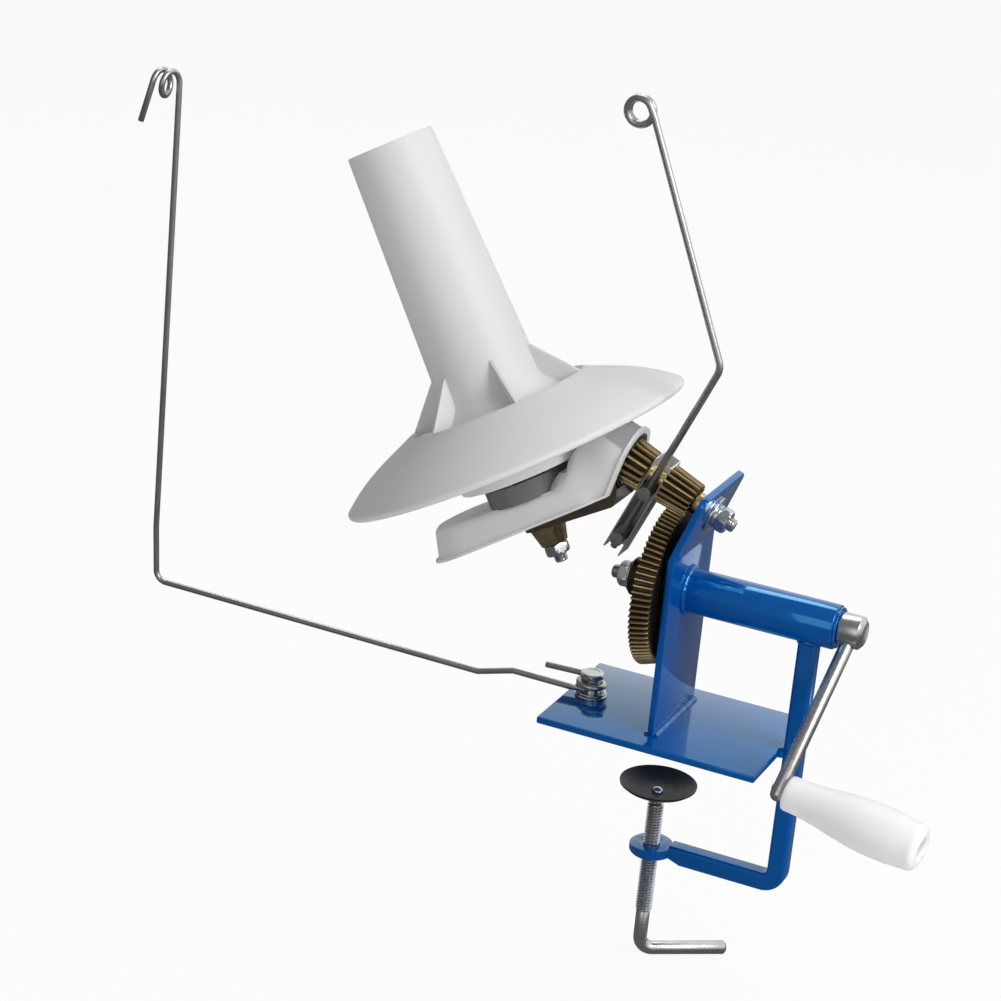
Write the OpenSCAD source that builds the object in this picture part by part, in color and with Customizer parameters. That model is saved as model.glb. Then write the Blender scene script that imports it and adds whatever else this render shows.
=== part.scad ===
// Table-clamp yarn ball winder, in millimetres.
// Origin: centre of the base plate's underside. +X points to the crank, +Z up.
// The crank's axis, the tilted main axis and the spindle axis all lie in the plane y = 0.

/* [Frame] */
// Length of the base plate, along the crank's axis
base_l = 130; // [120:1:150]
// Width of the base plate
base_w = 90; // [80:1:110]
// Thickness of the base plate
base_t = 4; // [3:0.5:6]
// Width of the upright post plate
post_w = 62; // [56:1:74]
// Thickness of the post plate
post_t = 4; // [3:0.5:5]
// Height of the bend in the post plate
bend_z = 108.5; // [104:0.5:114]
// Length of the tilted head above the bend
head_l = 42.5; // [38:0.5:50]
// Distance from the bend to the main shaft's hole
hole_u = 24.4; // [22:0.2:27]
// Tilt of the main axis above the horizontal
tilt = 20.5; // [19:0.5:22]
// Radius of the post plate's top corners
corner_r = 6; // [3:0.5:10]

/* [Crank] */
// Height of the crank's axis
crank_z = 82.5; // [80:0.5:85]
// Outer diameter of the crank tube
tube_d = 25; // [24:0.5:30]
// Bore of the crank tube
tube_bore = 19; // [17:0.5:20]
// Length of the crank tube
tube_l = 87; // [80:1:92]
// Diameter of the crank shaft
shaft_d = 10; // [8.5:0.5:12]
// Length of each tube bush inside the tube
bush_l = 20; // [10:1:30]
// Diameter of the crank's hub
hub_d = 18.6; // [16:0.2:22]
// Length of the crank's hub
hub_l = 14; // [12:0.5:18]
// Diameter of the crank's arm
arm_d = 8; // [7:0.5:9]
// Distance from the crank's axis to the grip's pin
throw = 95; // [80:1:105]
// Turn of the arm from hanging straight down, towards the front
arm_turn = 36.8; // [0:0.1:60]
// Lean of the arm towards the clamp
arm_lean = 7.5; // [4:0.5:8]
// Length of the grip
grip_l = 79; // [70:1:95]
// Diameter of the grip at its waist
grip_waist = 19.6; // [18:0.2:24]
// Diameter of the grip at its belly
grip_belly = 29; // [25:0.5:32]
// Diameter of the grip's pin
pin_d = 6; // [5:0.5:7]

/* [Gears] */
// Teeth of the big gear
gear_teeth = 81; // [72:1:90]
// Teeth of each pinion
pinion_teeth = 18; // [16:1:20]
// Width of the big gear
gear_w = 10.5; // [9:0.5:11]
// Gap between the big gear and the post plate
gear_gap = 2.8; // [2.4:0.2:4]
// Length of the big gear's hub, on its far side
gear_hub_l = 16; // [12:0.5:18]
// Length of the spacer between the post plate and the pinion
collar_l = 8; // [7:0.5:8.5]
// Length of the lower pinion
pinion_l = 19.2; // [17:0.2:20]
// Length of the upper pinion
upper_l = 13.4; // [11:0.2:15]
// Teeth of the idler's bevel
idler_bevel_teeth = 32; // [30:1:34]
// Teeth of the idler's spur gear
idler_spur_teeth = 30; // [28:1:32]
// Teeth of the spindle gear
spindle_teeth = 44; // [42:1:45]
// Pitch radius of the hidden bevel pinion at its large end
bevel_r = 10; // [9:0.2:10.4]
// Share of the pitch that each tooth fills
tooth_share = 0.4; // [0.34:0.01:0.42]

/* [Flyer] */
// Diameter of the main shaft and of the spindle's shaft
axle_d = 8; // [7:0.5:8]
// Width of the flyer's channel
channel_w = 9.6; // [9:0.2:10.2]
// Thickness of the channel's walls
channel_t = 1.4; // [1:0.1:2]
// Depth of the channel in front of the main axis
channel_front = 7; // [5.5:0.5:9]
// Lean of the channel towards the cone, at its lower end
channel_lean = 3; // [0:0.5:4]
// Reach of the channel below the main axis
channel_low = 50.5; // [46:0.5:56]
// Reach of the channel above the main axis
channel_high = 12.5; // [10:0.5:16]
// Diameter of the flyer's wire
wire_d = 4; // [3:0.25:4.5]
// Distance from the main axis to the flyer's bend
flyer_bend = 78; // [70:1:84]
// Distance from the main axis to the flyer's eye
eye_reach = 175.5; // [165:0.5:176]
// Place of the eye along the main axis, from the post plate
eye_along = 133.5; // [130:0.5:142]
// Mean radius of the eye's turns
eye_r = 7.3; // [6.5:0.1:9]

/* [Cone] */
// Tilt of the spindle's axis above the horizontal
cone_tilt = 59.6; // [58:0.2:61]
// Distance from the post plate to where the two axes meet
spindle_along = 152.5; // [150:0.5:155]
// Length of the tube above that point
tube_top = 132; // [110:1:150]
// Radius of the tube at its top
tube_r_top = 25; // [22:0.5:27]
// Radius of the tube level with that point
tube_r_low = 29.5; // [28:0.5:32]
// Radius of the flange's inner rim
rim_r = 52; // [48:0.5:56]
// Depth of the inner rim below that point
rim_level = 24; // [22:0.5:26]
// Radius of the flange
flange_r = 101.5; // [90:0.5:105]
// Depth of the flange's edge below that point
flange_level = 50.5; // [48:0.5:56]
// Bulge of the flange's outline
flange_bulge = 1.9; // [0:0.1:2.5]
// Wall of the cone
cone_wall = 2.8; // [2:0.2:3]
// Depth of the well between the tube and the rim
well_depth = 10; // [6:0.5:12]
// Radius of the cone's hub
cone_hub_r = 38; // [32:0.5:39]
// Depth of the cone's hub below that point
cone_hub_level = 66; // [65:0.5:69]
// Ribs between the tube and the rim
ribs = 6; // [4:1:8]

/* [Housing] */
// Depth of the housing's top face below that point
house_top = 78.7; // [78:0.1:80]
// Height of the housing's wall
house_h = 18.5; // [17:0.5:20]
// Wall of the housing
house_wall = 1.8; // [1.5:0.1:2]
// Distance from the spindle's axis to the centre of the round end
lobe_t = 39; // [34:0.5:44]
// Radius of the round end
lobe_r = 29.5; // [28:0.5:32]
// Radius of the hood over the pinion
hood_r = 18.6; // [18.2:0.1:20]
// Radius of the collar on the housing
collar_r = 23; // [20:0.5:25]

/* [Yarn guide] */
// Diameter of the guide's wire
guide_d = 3.5; // [3:0.25:4]
// Distance from the post plate to the guide's pivot
pivot_back = 51.5; // [46:0.5:56]
// Mean radius of the coil round the pivot
coil_r = 7.2; // [6.8:0.1:8]
// Distance from the post plate to the guide's upright
upright_back = 338; // [300:1:360]
// Height of the top of the guide's upright
hook_z = 311; // [270:1:330]
// Lean of the guide's upright towards the cone, at its top
guide_lean = 1.5; // [0:0.5:6]
// Mean radius of the hook's turns
hook_r = 7.1; // [6:0.2:9]

/* [Clamp] */
// Side of the clamp's square bar
bar_w = 11; // [10:0.5:12]
// Gap between the base plate and the clamp bar, filled by the weld
bar_gap = 1.9; // [1:0.1:3]
// Depth of the lower arm's middle below the table face
clamp_depth = 78.7; // [70:0.5:90]
// Distance from the post plate to the clamp screw
screw_back = 4.5; // [2:0.5:10]
// Diameter of the clamp screw over its thread
screw_d = 9.6; // [8.6:0.2:10.4]
// Diameter of the clamp screw's plain rod and handle
rod_d = 8; // [7:0.2:8.4]
// Length of the clamp screw's thread
thread_l = 70; // [66:1:74]
// Diameter of the pressure pad
pad_d = 44.5; // [36:0.5:48]
// Depth of the pad's rim below the table face
pad_gap = 38; // [30:0.5:42]
// Length of the clamp screw's handle
handle_l = 52; // [40:1:60]
// Turn of the handle from +X towards the back
handle_turn = 34; // [0:1:360]

/* [Hidden] */
$fn = 48;

// Shared fits
run_fit = 0.06;
face_gap = 0.3;
seat_gap = 0.05;
nut_flats = 13;
nut_h = 6.5;
washer_t = 1.6;
spring_t = 2.2;

// Directions of the two tilted axes
main_dir = [-cos(tilt), 0, sin(tilt)];
main_up = [sin(tilt), 0, cos(tilt)];
mesh_angle = cone_tilt - tilt;

// Places on the frame
bend = [-post_t, 0, bend_z];
hole = bend + hole_u * main_up;
apex_x = hole.x + (hole.z - crank_z) / tan(tilt);
apex_along = (hole.z - crank_z) / sin(tilt);

// The big gear and the lower pinion are bevels whose cones meet at the apex
gear_half = atan(sin(tilt) / (pinion_teeth / gear_teeth + cos(tilt)));
pinion_half = tilt - gear_half;
gear_x = -post_t - gear_gap - gear_w;
gear_dist = apex_x - gear_x;
gear_r = gear_dist * tan(gear_half);
gear_module = 2 * gear_r / gear_teeth;

gear_hub_r = 11;
gear_boss_r = 14;
gear_rim = 6;
gear_recess = 3;
tooth_high = 0.9;
tooth_deep = 1.15;

// Stack along the main axis, measured from the post plate's face
pinion_v = collar_l;
channel_v = pinion_v + pinion_l + channel_w / 2 + 0.6;
upper_v = channel_v + channel_w / 2 + 0.6;
bevel_v = upper_v + upper_l + 3.5;
bevel_w = 5.5;
thrust_v = bevel_v + bevel_w;
thrust_t = 2.6;
lug_v = thrust_v + thrust_t + face_gap;
lug_t = 7.5;
sleeve_r = axle_d / 2 + run_fit + 0.9;
channel_back = sleeve_r + seat_gap + channel_t;
wire_y = sleeve_r + seat_gap + wire_d / 2;
mouth_v = upper_v + upper_l - 1.8;
mouth_lean = 7;
rim_lean = 2.8;
house_draft = 4;
clip_places = [-8.5, 9.5 - channel_low];
clip_r = 1.5;
slot_w = 5;
slot_l = 6;

// The hidden train, in the spindle's own frame: t across the axis, level along it
bevel_dist = spindle_along - bevel_v;
bevel_half = atan(sin(mesh_angle) / (idler_bevel_teeth / pinion_teeth + cos(mesh_angle)));
bevel_cone = bevel_r / tan(bevel_half);
bevel_module = 2 * bevel_r / pinion_teeth;
idler_t = (bevel_dist - bevel_cone) * sin(mesh_angle);
idler_r = bevel_r * idler_bevel_teeth / pinion_teeth;
idler_cone = idler_r / tan(mesh_angle - bevel_half);
idler_level = -(bevel_dist - bevel_cone) * cos(mesh_angle) - idler_cone;
spur_module = 2 * idler_t / (idler_spur_teeth + spindle_teeth);
web_t = 2.4;
spur_t = 6.6;
spur_level = idler_level - web_t - spur_t;
arm_top = spur_level - 1;
arm_t = 6.5;
arm_bottom = arm_top - arm_t;
boss_h = 11.5;
boss_level = arm_bottom - boss_h;
boss_r = 10.5;
boss_low_r = 7.6;
arm_r = 13;
arm_reach = 50.2;
cheek_t = 3;
cheek_inner = 12.8;
lug_half = 8.5;
tail_t = 3.5;
tail_r = 8;
idler_pin_r = 3;
house_screw_r = 2;
rim_plane = -house_top - house_h;

// Cone
bush_d = 13;
bush_top = -38;
hub_floor = 5;
floor_level = -rim_level - well_depth;
tube_foot = -cone_hub_level + hub_floor + seat_gap;
hub_wall = 1.8;
rim_t = 2.4;
rib_t = 2.5;
rib_gap = 0.08;
rib_top = 10;
rib_turn = 8;
function tube_r(level) = tube_r_low - (tube_r_low - tube_r_top) * level / tube_top;

// Clamp
bar_x = base_l / 2 + bar_gap + bar_w / 2;
bar_round = 2.5;
bend_r = 8.5;
eye_out_r = 12.5;
eye_t = 8;
pad_depth = 5.5;
pad_t = 1.5;
neck_r = 3;
rivet_r = 2.2;
dome_r = 3.4;
dome_h = 2.4;
neck_top = -pad_gap - pad_depth - pad_t - 0.1;
screw_top = neck_top - 5;
screw_low = -145.5;
grip_gap = 0.4;
hub_x = tube_l + 1.5 + face_gap;
arm_x = hub_x + hub_l / 2;
arm_tip = 3;
spigot_d = arm_d - 3;

function unit(v) = v / norm(v);
function tooth_outline(teeth, r, add, ded, share) =
    let (step = 360 / teeth, half = share * step / 2)
    [for (i = [0 : teeth - 1], k = [[-1.5, -ded], [-1, 0], [-0.5, add], [0.5, add], [1, 0], [1.5, -ded]])
        (r + k[1]) * [cos(i * step + k[0] * half), sin(i * step + k[0] * half)]];
function corner(a, b, c, r, steps = 6) =
    let (u = unit(a - b), v = unit(c - b), half = acos(u * v) / 2,
         mid = b + unit(u + v) * (r / sin(half)),
         s = b + u * (r / tan(half)) - mid, e = b + v * (r / tan(half)) - mid,
         turn = 180 - 2 * half)
    [for (i = [0 : steps]) mid + (sin(turn * (1 - i / steps)) * s + sin(turn * i / steps) * e) / sin(turn)];
function coil(mid, u, v, w, r, from, to, rise, steps) =
    [for (i = [0 : steps]) let (a = from + (to - from) * i / steps)
        mid + r * (cos(a) * u + sin(a) * v) + (rise * i / steps - rise / 2) * w];
function tangent(p, i) = unit(p[min(i + 1, len(p) - 1)] - p[max(i - 1, 0)]);
function side_of(t) = unit(cross(t, abs(t.y) < 0.9 ? [0, 1, 0] : [1, 0, 0]));
function frames(p) =
    [for (i = 0, t = tangent(p, 0), n = side_of(t); i < len(p);
          i = i + 1, t = tangent(p, min(i, len(p) - 1)), n = unit(n - (n * t) * t)) [t, n]];

// A round wire along a path
module wire(path, r, sides = 12) {
    f = frames(path);
    rings = len(path);
    points = [for (i = [0 : rings - 1], k = [0 : sides - 1])
        let (a = k * 360 / sides) path[i] + r * (cos(a) * f[i][1] + sin(a) * cross(f[i][0], f[i][1]))];
    walls = [for (i = [0 : rings - 2], k = [0 : sides - 1])
        let (a = i * sides + k, b = i * sides + (k + 1) % sides)
        each [[a, b, b + sides], [a, b + sides, a + sides]]];
    start = [for (k = [1 : sides - 2]) [0, k + 1, k]];
    last = (rings - 1) * sides;
    end = [for (k = [1 : sides - 2]) [last, last + k, last + k + 1]];
    polyhedron(points, concat([for (w = walls) [w[0], w[2], w[1]]], [for (s = start) [s[0], s[2], s[1]]],
        [for (e = end) [e[0], e[2], e[1]]]));
}

// Local frames: z runs along the axis, x lies in the plane y = 0
module on_main(v = 0) {
    translate(hole + v * main_dir) rotate([0, tilt - 90, 0]) children();
}
module on_spindle(level = 0, t = 0) {
    translate(hole + spindle_along * main_dir) rotate([0, cone_tilt - 90, 0])
        translate([t, 0, level]) children();
}
module on_crank(x = 0) {
    translate([x, 0, crank_z]) rotate([0, 90, 0]) children();
}
module on_arm(reach = 0, along = 0) {
    translate([arm_x, 0, crank_z]) rotate([-arm_turn, 0, 0]) rotate([0, arm_lean, 0])
        translate([along, 0, -reach]) children();
}

module ring(outer, inner, h) {
    difference() {
        cylinder(r = outer, h = h);
        translate([0, 0, -1]) cylinder(r = inner + seat_gap, h = h + 2);
    }
}
module hex_nut(flats, h, bore = 0) {
    difference() {
        intersection() {
            cylinder(d = flats / cos(30), h = h, $fn = 6);
            rotate_extrude() polygon([[0, 0], [flats / 2 - 0.2, 0], [flats / 2 + 0.8, 0.9],
                [flats / 2 + 0.8, h - 0.9], [flats / 2 - 0.2, h], [0, h]]);
        }
        if (bore > 0) translate([0, 0, -1]) cylinder(r = bore + seat_gap, h = h + 2);
    }
}
module chamfered_rod(d, l, c = 0.8) {
    rotate_extrude() polygon([[0, 0], [d / 2 - c, 0], [d / 2, c], [d / 2, l - c], [d / 2 - c, l], [0, l]]);
}
module rounded_square(w, r) {
    square([w, w - 2 * r], center = true);
    square([w - 2 * r, w], center = true);
    for (x = [-1, 1], y = [-1, 1]) translate([x, y] * (w / 2 - r)) circle(r, $fn = 24);
}
// Straight teeth whose flanks run to a point at distance cone above the large face
module bevel_teeth(teeth, r, module_size, cone, w, phase) {
    rotate(phase) linear_extrude(height = w, scale = (cone - w) / cone)
        polygon(tooth_outline(teeth, r, tooth_high * module_size, tooth_deep * module_size, tooth_share));
}
module spur_teeth(teeth, module_size, h, phase) {
    rotate(phase) linear_extrude(height = h)
        polygon(tooth_outline(teeth, teeth * module_size / 2, tooth_high * module_size,
            tooth_deep * module_size, tooth_share));
}

module base_plate() {
    color("royalblue") difference() {
        translate([-base_l / 2, -base_w / 2, 0]) cube([base_l, base_w, base_t]);
        translate([-pivot_back, 0, -1]) cylinder(r = axle_d / 2 + seat_gap, h = base_t + 2);
    }
}
// The plate's outline from the side: upright, then bent over at the head
module post_side() {
    outer_top = [bend.x, bend.z] + head_l * [main_up.x, main_up.z];
    polygon([[-post_t, base_t], [0, base_t], [0, bend_z - post_t * tan(tilt / 2)],
        outer_top + post_t * [cos(tilt), -sin(tilt)], outer_top, [-post_t, bend_z]]);
}
module post_plate() {
    color("royalblue") difference() {
        translate([0, post_w / 2, 0]) rotate([90, 0, 0]) linear_extrude(height = post_w) post_side();
        for (s = [-1, 1]) translate(bend) rotate([0, tilt, 0])
            translate([-1, s * (post_w / 2 - corner_r), head_l - corner_r])
            rotate([90, 0, 90]) linear_extrude(height = post_t + 2) difference() {
                translate([s > 0 ? 0 : -corner_r - 1, 0]) square(corner_r + 1);
                circle(corner_r);
            }
        on_main(-post_t - 1) cylinder(r = axle_d / 2 + seat_gap, h = post_t + 2);
        on_crank(-post_t - 1) cylinder(d = tube_bore, h = post_t + 2);
    }
}
module crank_tube() {
    color("royalblue") on_crank() ring(tube_d / 2, tube_bore / 2 - seat_gap, tube_l);
}
module bar_outline() {
    rounded_square(bar_w, bar_round);
}
module clamp_bar() {
    color("royalblue") difference() {
        union() {
            translate([bar_x, 0, bend_r - clamp_depth])
                linear_extrude(height = crank_z - tube_d / 4 + clamp_depth - bend_r) bar_outline();
            translate([bar_x - bend_r, 0, bend_r - clamp_depth]) rotate([90, 0, 0])
                rotate([0, 0, -90]) rotate_extrude(angle = 90) translate([bend_r, 0]) bar_outline();
            translate([-screw_back, 0, -clamp_depth]) rotate([0, 90, 0])
                linear_extrude(height = bar_x - bend_r + screw_back) bar_outline();
            translate([-screw_back, 0, -clamp_depth - bar_w / 2]) cylinder(r = eye_out_r, h = eye_t);
            translate([base_l / 2, -bar_w / 2 + bar_round, 0])
                cube([bar_gap + bar_round, bar_w - 2 * bar_round, base_t + 2]);
        }
        on_crank(0) cylinder(d = tube_d + 2 * seat_gap, h = tube_l + 1);
        translate([-screw_back - eye_out_r - 1, -bar_w, eye_t - clamp_depth - bar_w / 2])
            cube([2 * eye_out_r + 1, 2 * bar_w, bar_w]);
        translate([-screw_back, 0, -clamp_depth - bar_w]) cylinder(r = screw_d / 2 + run_fit, h = 2 * bar_w);
    }
}
module tube_bush(flange_t, flange_r) {
    difference() {
        union() {
            cylinder(d = tube_bore, h = bush_l);
            translate([0, 0, -flange_t]) cylinder(r = flange_r, h = flange_t);
        }
        translate([0, 0, -flange_t - 1]) cylinder(r = shaft_d / 2 + run_fit, h = bush_l + flange_t + 2);
    }
}
module tube_bush_left() {
    color("goldenrod") on_crank(-post_t) tube_bush(gear_gap - face_gap, tube_bore / 2 + 2);
}
module tube_bush_right() {
    color("goldenrod") on_crank(tube_l) mirror([0, 0, 1]) tube_bush(1.5, tube_d / 2 - 1);
}
module main_shaft() {
    color("silver") on_main(-post_t - 14) chamfered_rod(axle_d, post_t + 14 + lug_v + lug_t);
}
module head_washer() {
    color("silver") on_main(-post_t - washer_t) ring(10.5, axle_d / 2, washer_t);
}
module spring_washer() {
    color("silver") on_main(-post_t - washer_t - spring_t) difference() {
        ring(6.8, axle_d / 2, spring_t);
        rotate(70) translate([0, -0.5, -1]) cube([10, 1, 5]);
    }
}
module head_nut() {
    color("silver") on_main(-post_t - washer_t - spring_t - nut_h) rotate(12)
        hex_nut(nut_flats, nut_h, axle_d / 2);
}
module shaft_collar() {
    color("goldenrod") on_main() ring(6.5, axle_d / 2, collar_l - face_gap);
}
module thrust_washer() {
    color("silver") on_main(thrust_v + face_gap) ring(8, axle_d / 2, thrust_t);
}
module crank_shaft() {
    left_end = gear_x - gear_hub_l - washer_t - nut_h - 4.5;
    step = gear_x - gear_hub_l + face_gap;
    color("silver") {
        on_crank(step) chamfered_rod(shaft_d, hub_x + hub_l - 3 - step, 0.5);
        on_crank(left_end) chamfered_rod(axle_d, step - left_end + 1);
    }
}
module drive_gear() {
    color("darkgoldenrod") difference() {
        on_crank(gear_x) intersection() {
            bevel_teeth(gear_teeth, gear_r, gear_module, gear_dist, gear_w, 180 + 180 / gear_teeth);
            cylinder(r1 = gear_r + gear_module, r2 = gear_r + gear_module - 0.3 * gear_w, h = gear_w);
        }
        on_crank(gear_x - 1) ring(gear_r - gear_rim, gear_boss_r, gear_recess + 1);
        on_crank(gear_x - 1) cylinder(r = gear_hub_r + seat_gap, h = gear_w + 2);
    }
}
module gear_hub() {
    color("darkgoldenrod") on_crank(gear_x - gear_hub_l) ring(gear_hub_r, shaft_d / 2, gear_hub_l + gear_w);
}
module crank_washer() {
    color("silver") on_crank(gear_x - gear_hub_l - washer_t) ring(9, axle_d / 2, washer_t);
}
module crank_nut() {
    color("silver") on_crank(gear_x - gear_hub_l - washer_t - nut_h) rotate(8)
        hex_nut(nut_flats, nut_h, axle_d / 2);
}
module crank_hub() {
    color("silver") difference() {
        on_crank(hub_x) rotate_extrude() polygon([[0, 0], [hub_d / 2 - 0.6, 0], [hub_d / 2, 0.6],
            [hub_d / 2, hub_l - 2.5], [hub_d / 2 - 2.5, hub_l - 0.4], [hub_d / 2 - 4, hub_l], [0, hub_l]]);
        on_crank(hub_x - 1) cylinder(r = shaft_d / 2 + seat_gap, h = hub_l - 1.9);
    }
}
module crank_arm() {
    color("silver") difference() {
        on_arm() mirror([0, 0, 1]) rotate_extrude() polygon(concat([[0, 0], [arm_d / 2, 0]],
            [for (a = [0 : 15 : 75]) [arm_d / 2 * cos(a), throw + arm_tip + arm_d / 2 * sin(a)]],
            [[0, throw + arm_tip + arm_d / 2]]));
        on_crank(hub_x - 1) cylinder(d = hub_d + 2 * seat_gap, h = hub_l + 2);
        on_arm(throw, -arm_d) rotate([0, 90, 0]) cylinder(r = spigot_d / 2 + seat_gap, h = 2 * arm_d);
    }
}
module grip_pin() {
    color("silver") on_arm(throw, -arm_d / 2) rotate([0, 90, 0]) {
        cylinder(d = spigot_d, h = arm_d + 1);
        translate([0, 0, arm_d + seat_gap]) cylinder(d = pin_d, h = grip_gap + grip_l - 3);
        translate([0, 0, arm_d + grip_gap + grip_l - 5]) cylinder(r = 5, h = 2.5);
    }
}
module hand_grip() {
    waist = grip_waist / 2;
    belly = grip_belly / 2;
    function swell(f) = waist + (belly - waist) * (1 - cos(180 * f)) / 2;
    outline = concat([[pin_d / 2 + run_fit, 0], [waist - 1.8, 0], [waist - 0.5, 0.5], [waist, 1.8]],
        [for (i = [0 : 10]) [swell(i / 10), 4 + (0.66 * grip_l - 4) * i / 10]],
        [[belly - 0.2, 0.8 * grip_l], [belly - 1, 0.88 * grip_l]],
        [for (a = [0 : 15 : 90]) [belly - 5.5 + 4.2 * cos(a), grip_l - 5 + 5 * sin(a)]],
        [[7.5, grip_l], [6.5, grip_l - 0.8], [6.2, grip_l - 5.3], [pin_d / 2 + run_fit, grip_l - 5.3]]);
    color("whitesmoke") on_arm(throw, arm_d / 2 + grip_gap) rotate([0, 90, 0]) rotate_extrude()
        polygon(outline);
}

module pinion_sleeve() {
    color("goldenrod") on_main(pinion_v)
        ring(sleeve_r, axle_d / 2 + run_fit - seat_gap, thrust_v - pinion_v);
}
module pinion_cut(v, l) {
    dist = apex_along + v + l;
    m = gear_module * dist / (gear_dist / cos(gear_half) * cos(pinion_half));
    translate([0, 0, l]) mirror([0, 0, 1])
        bevel_teeth(pinion_teeth, dist * tan(pinion_half), m, dist, l, 180);
}
module lower_pinion() {
    color("darkgoldenrod") on_main(pinion_v) difference() {
        pinion_cut(pinion_v, pinion_l);
        translate([0, 0, -1]) cylinder(r = sleeve_r + seat_gap, h = pinion_l + 2);
    }
}
module upper_pinion() {
    color("darkgoldenrod") on_main(upper_v) difference() {
        pinion_cut(upper_v, upper_l);
        translate([0, 0, -1]) cylinder(r = sleeve_r + seat_gap, h = upper_l + 2);
    }
}
module bevel_pinion() {
    color("darkgoldenrod") on_main(bevel_v) difference() {
        bevel_teeth(pinion_teeth, bevel_r, bevel_module, bevel_cone, bevel_w, 180);
        translate([0, 0, -1]) cylinder(r = sleeve_r + seat_gap, h = bevel_w + 2);
    }
}
// The channel's own frame: its middle plane leans a little across the main axis
module on_channel(u = 0) {
    on_main(channel_v) rotate([0, channel_lean, 0]) translate([u, 0, 0]) children();
}
module flyer_channel() {
    l = channel_low + channel_high;
    color("silver") difference() {
        on_channel(-channel_low) translate([0, -channel_front, -channel_w / 2])
            cube([l, channel_front + channel_back, channel_w]);
        on_channel(-channel_low - 1) translate([0, -channel_front - 1, channel_t - channel_w / 2])
            cube([l + 2, channel_front + channel_back + 1 - channel_t, channel_w - 2 * channel_t]);
        on_main(channel_v - channel_w) cylinder(r = sleeve_r + seat_gap, h = 2 * channel_w);
        on_channel(-channel_low - 1) translate([0, channel_back - channel_t - 1, -slot_w / 2])
            cube([slot_l + 1, channel_t + 2, slot_w]);
        for (u = clip_places) on_channel(u) rotate([-90, 0, 0])
            cylinder(r = clip_r + seat_gap, h = channel_back + 1);
    }
}
module clip(u) {
    color("gray") on_channel(u) difference() {
        union() {
            translate([0, -wire_y - wire_d / 2 - 1.6, 0]) rotate([-90, 0, 0]) cylinder(r = 3.8, h = 1.5);
            translate([0, -wire_y - wire_d / 2 - 0.2, 0]) rotate([-90, 0, 0])
                cylinder(r = 3.2, h = wire_y + wire_d / 2 + sleeve_r);
            rotate([-90, 0, 0]) cylinder(r = clip_r, h = channel_back + 0.6);
        }
        translate([-10, -wire_y, 0]) rotate([0, 90, 0]) cylinder(r = wire_d / 2 + seat_gap, h = 20);
    }
}
module upper_clip() clip(clip_places[0]);
module lower_clip() clip(clip_places[1]);
module flyer_wire() {
    lean = [cos(channel_lean), 0, -sin(channel_lean)];
    mid = [0, -wire_y, channel_v];
    low = mid - (channel_low - 3) * lean;
    knee = mid + flyer_bend * lean;
    eye = [eye_reach, 0, eye_along];
    run = unit([eye.x - knee.x, 0, eye.z - knee.z]);
    right = [run.z, 0, -run.x];
    meet = eye + eye_r * right - 6 * run + [0, -wire_d / 2, 0];
    path = concat([low, mid - 20 * lean, mid + 30 * lean], corner(mid, knee, meet, 10, 8),
        [meet], coil(eye, right, run, [0, 1, 0], eye_r, 6, 618, wire_d + 0.4, 40));
    color("dimgray") on_main() wire(path, wire_d / 2);
}

module spindle_arm() {
    side = cheek_inner + cheek_t;
    lug = [for (p = [[lug_v + lug_t, 0.5], [lug_v + lug_t, -lug_half], [lug_v, -lug_half]])
        [(spindle_along - p[0]) * sin(mesh_angle) + p[1] * cos(mesh_angle),
         -(spindle_along - p[0]) * cos(mesh_angle) + p[1] * sin(mesh_angle)]];
    color("saddlebrown") difference() {
        union() {
            on_spindle(arm_bottom) {
                cylinder(r = arm_r, h = arm_t);
                linear_extrude(height = arm_t)
                    polygon([[0, -arm_r], [arm_reach, -side], [arm_reach, side], [0, arm_r]]);
            }
            on_spindle(arm_top - tail_t) linear_extrude(height = tail_t) {
                translate([-lobe_t, -tail_r]) square([lobe_t, 2 * tail_r]);
                translate([-lobe_t, 0]) circle(tail_r);
            }
            on_spindle(boss_level) cylinder(r1 = boss_low_r, r2 = boss_r, h = boss_h);
            on_spindle(arm_bottom - 1) cylinder(r = boss_r - 0.5, h = 2);
            for (s = [-1, 1]) on_spindle() translate([0, s * (cheek_inner + cheek_t / 2) + cheek_t / 2, 0])
                rotate([90, 0, 0]) linear_extrude(height = cheek_t) polygon(concat(lug,
                    [[arm_reach, lug[2].y - 4], [arm_reach, arm_bottom], [arm_reach + 2.8, arm_bottom + 2],
                     [arm_reach + 5.8, arm_bottom + 8], [arm_reach + 7.8, arm_bottom + 17],
                     [arm_reach + 9, arm_bottom + 25]]));
            on_main(lug_v) linear_extrude(height = lug_t) {
                circle(10);
                translate([-lug_half, -side]) square([lug_half + 0.5, 2 * side]);
            }
        }
        on_main(lug_v - 1) cylinder(r = axle_d / 2 + seat_gap, h = lug_t + 2);
        on_spindle(boss_level - 1) cylinder(r = axle_d / 2 + seat_gap, h = boss_h + arm_t + 2);
        on_spindle(arm_bottom + 1, idler_t) cylinder(r = idler_pin_r + seat_gap, h = arm_t + 2);
        on_spindle(arm_bottom - 1, -lobe_t) cylinder(r = house_screw_r + 0.1, h = arm_t + 2);
    }
}
module spindle_shaft() {
    color("silver") on_spindle(boss_level - nut_h - 4.5)
        chamfered_rod(axle_d, bush_top + 1.5 + 9 - boss_level + nut_h + 4.5);
}
module spindle_foot_nut() {
    color("silver") on_spindle(boss_level - nut_h) rotate(20) hex_nut(nut_flats, nut_h, axle_d / 2);
}
module spindle_top_nut() {
    color("silver") on_spindle(bush_top + 1.5 + face_gap) hex_nut(nut_flats, nut_h, axle_d / 2);
}
module gear_washer() {
    color("silver") on_spindle(arm_top) ring(8, axle_d / 2, spur_level - arm_top - face_gap);
}
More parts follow.
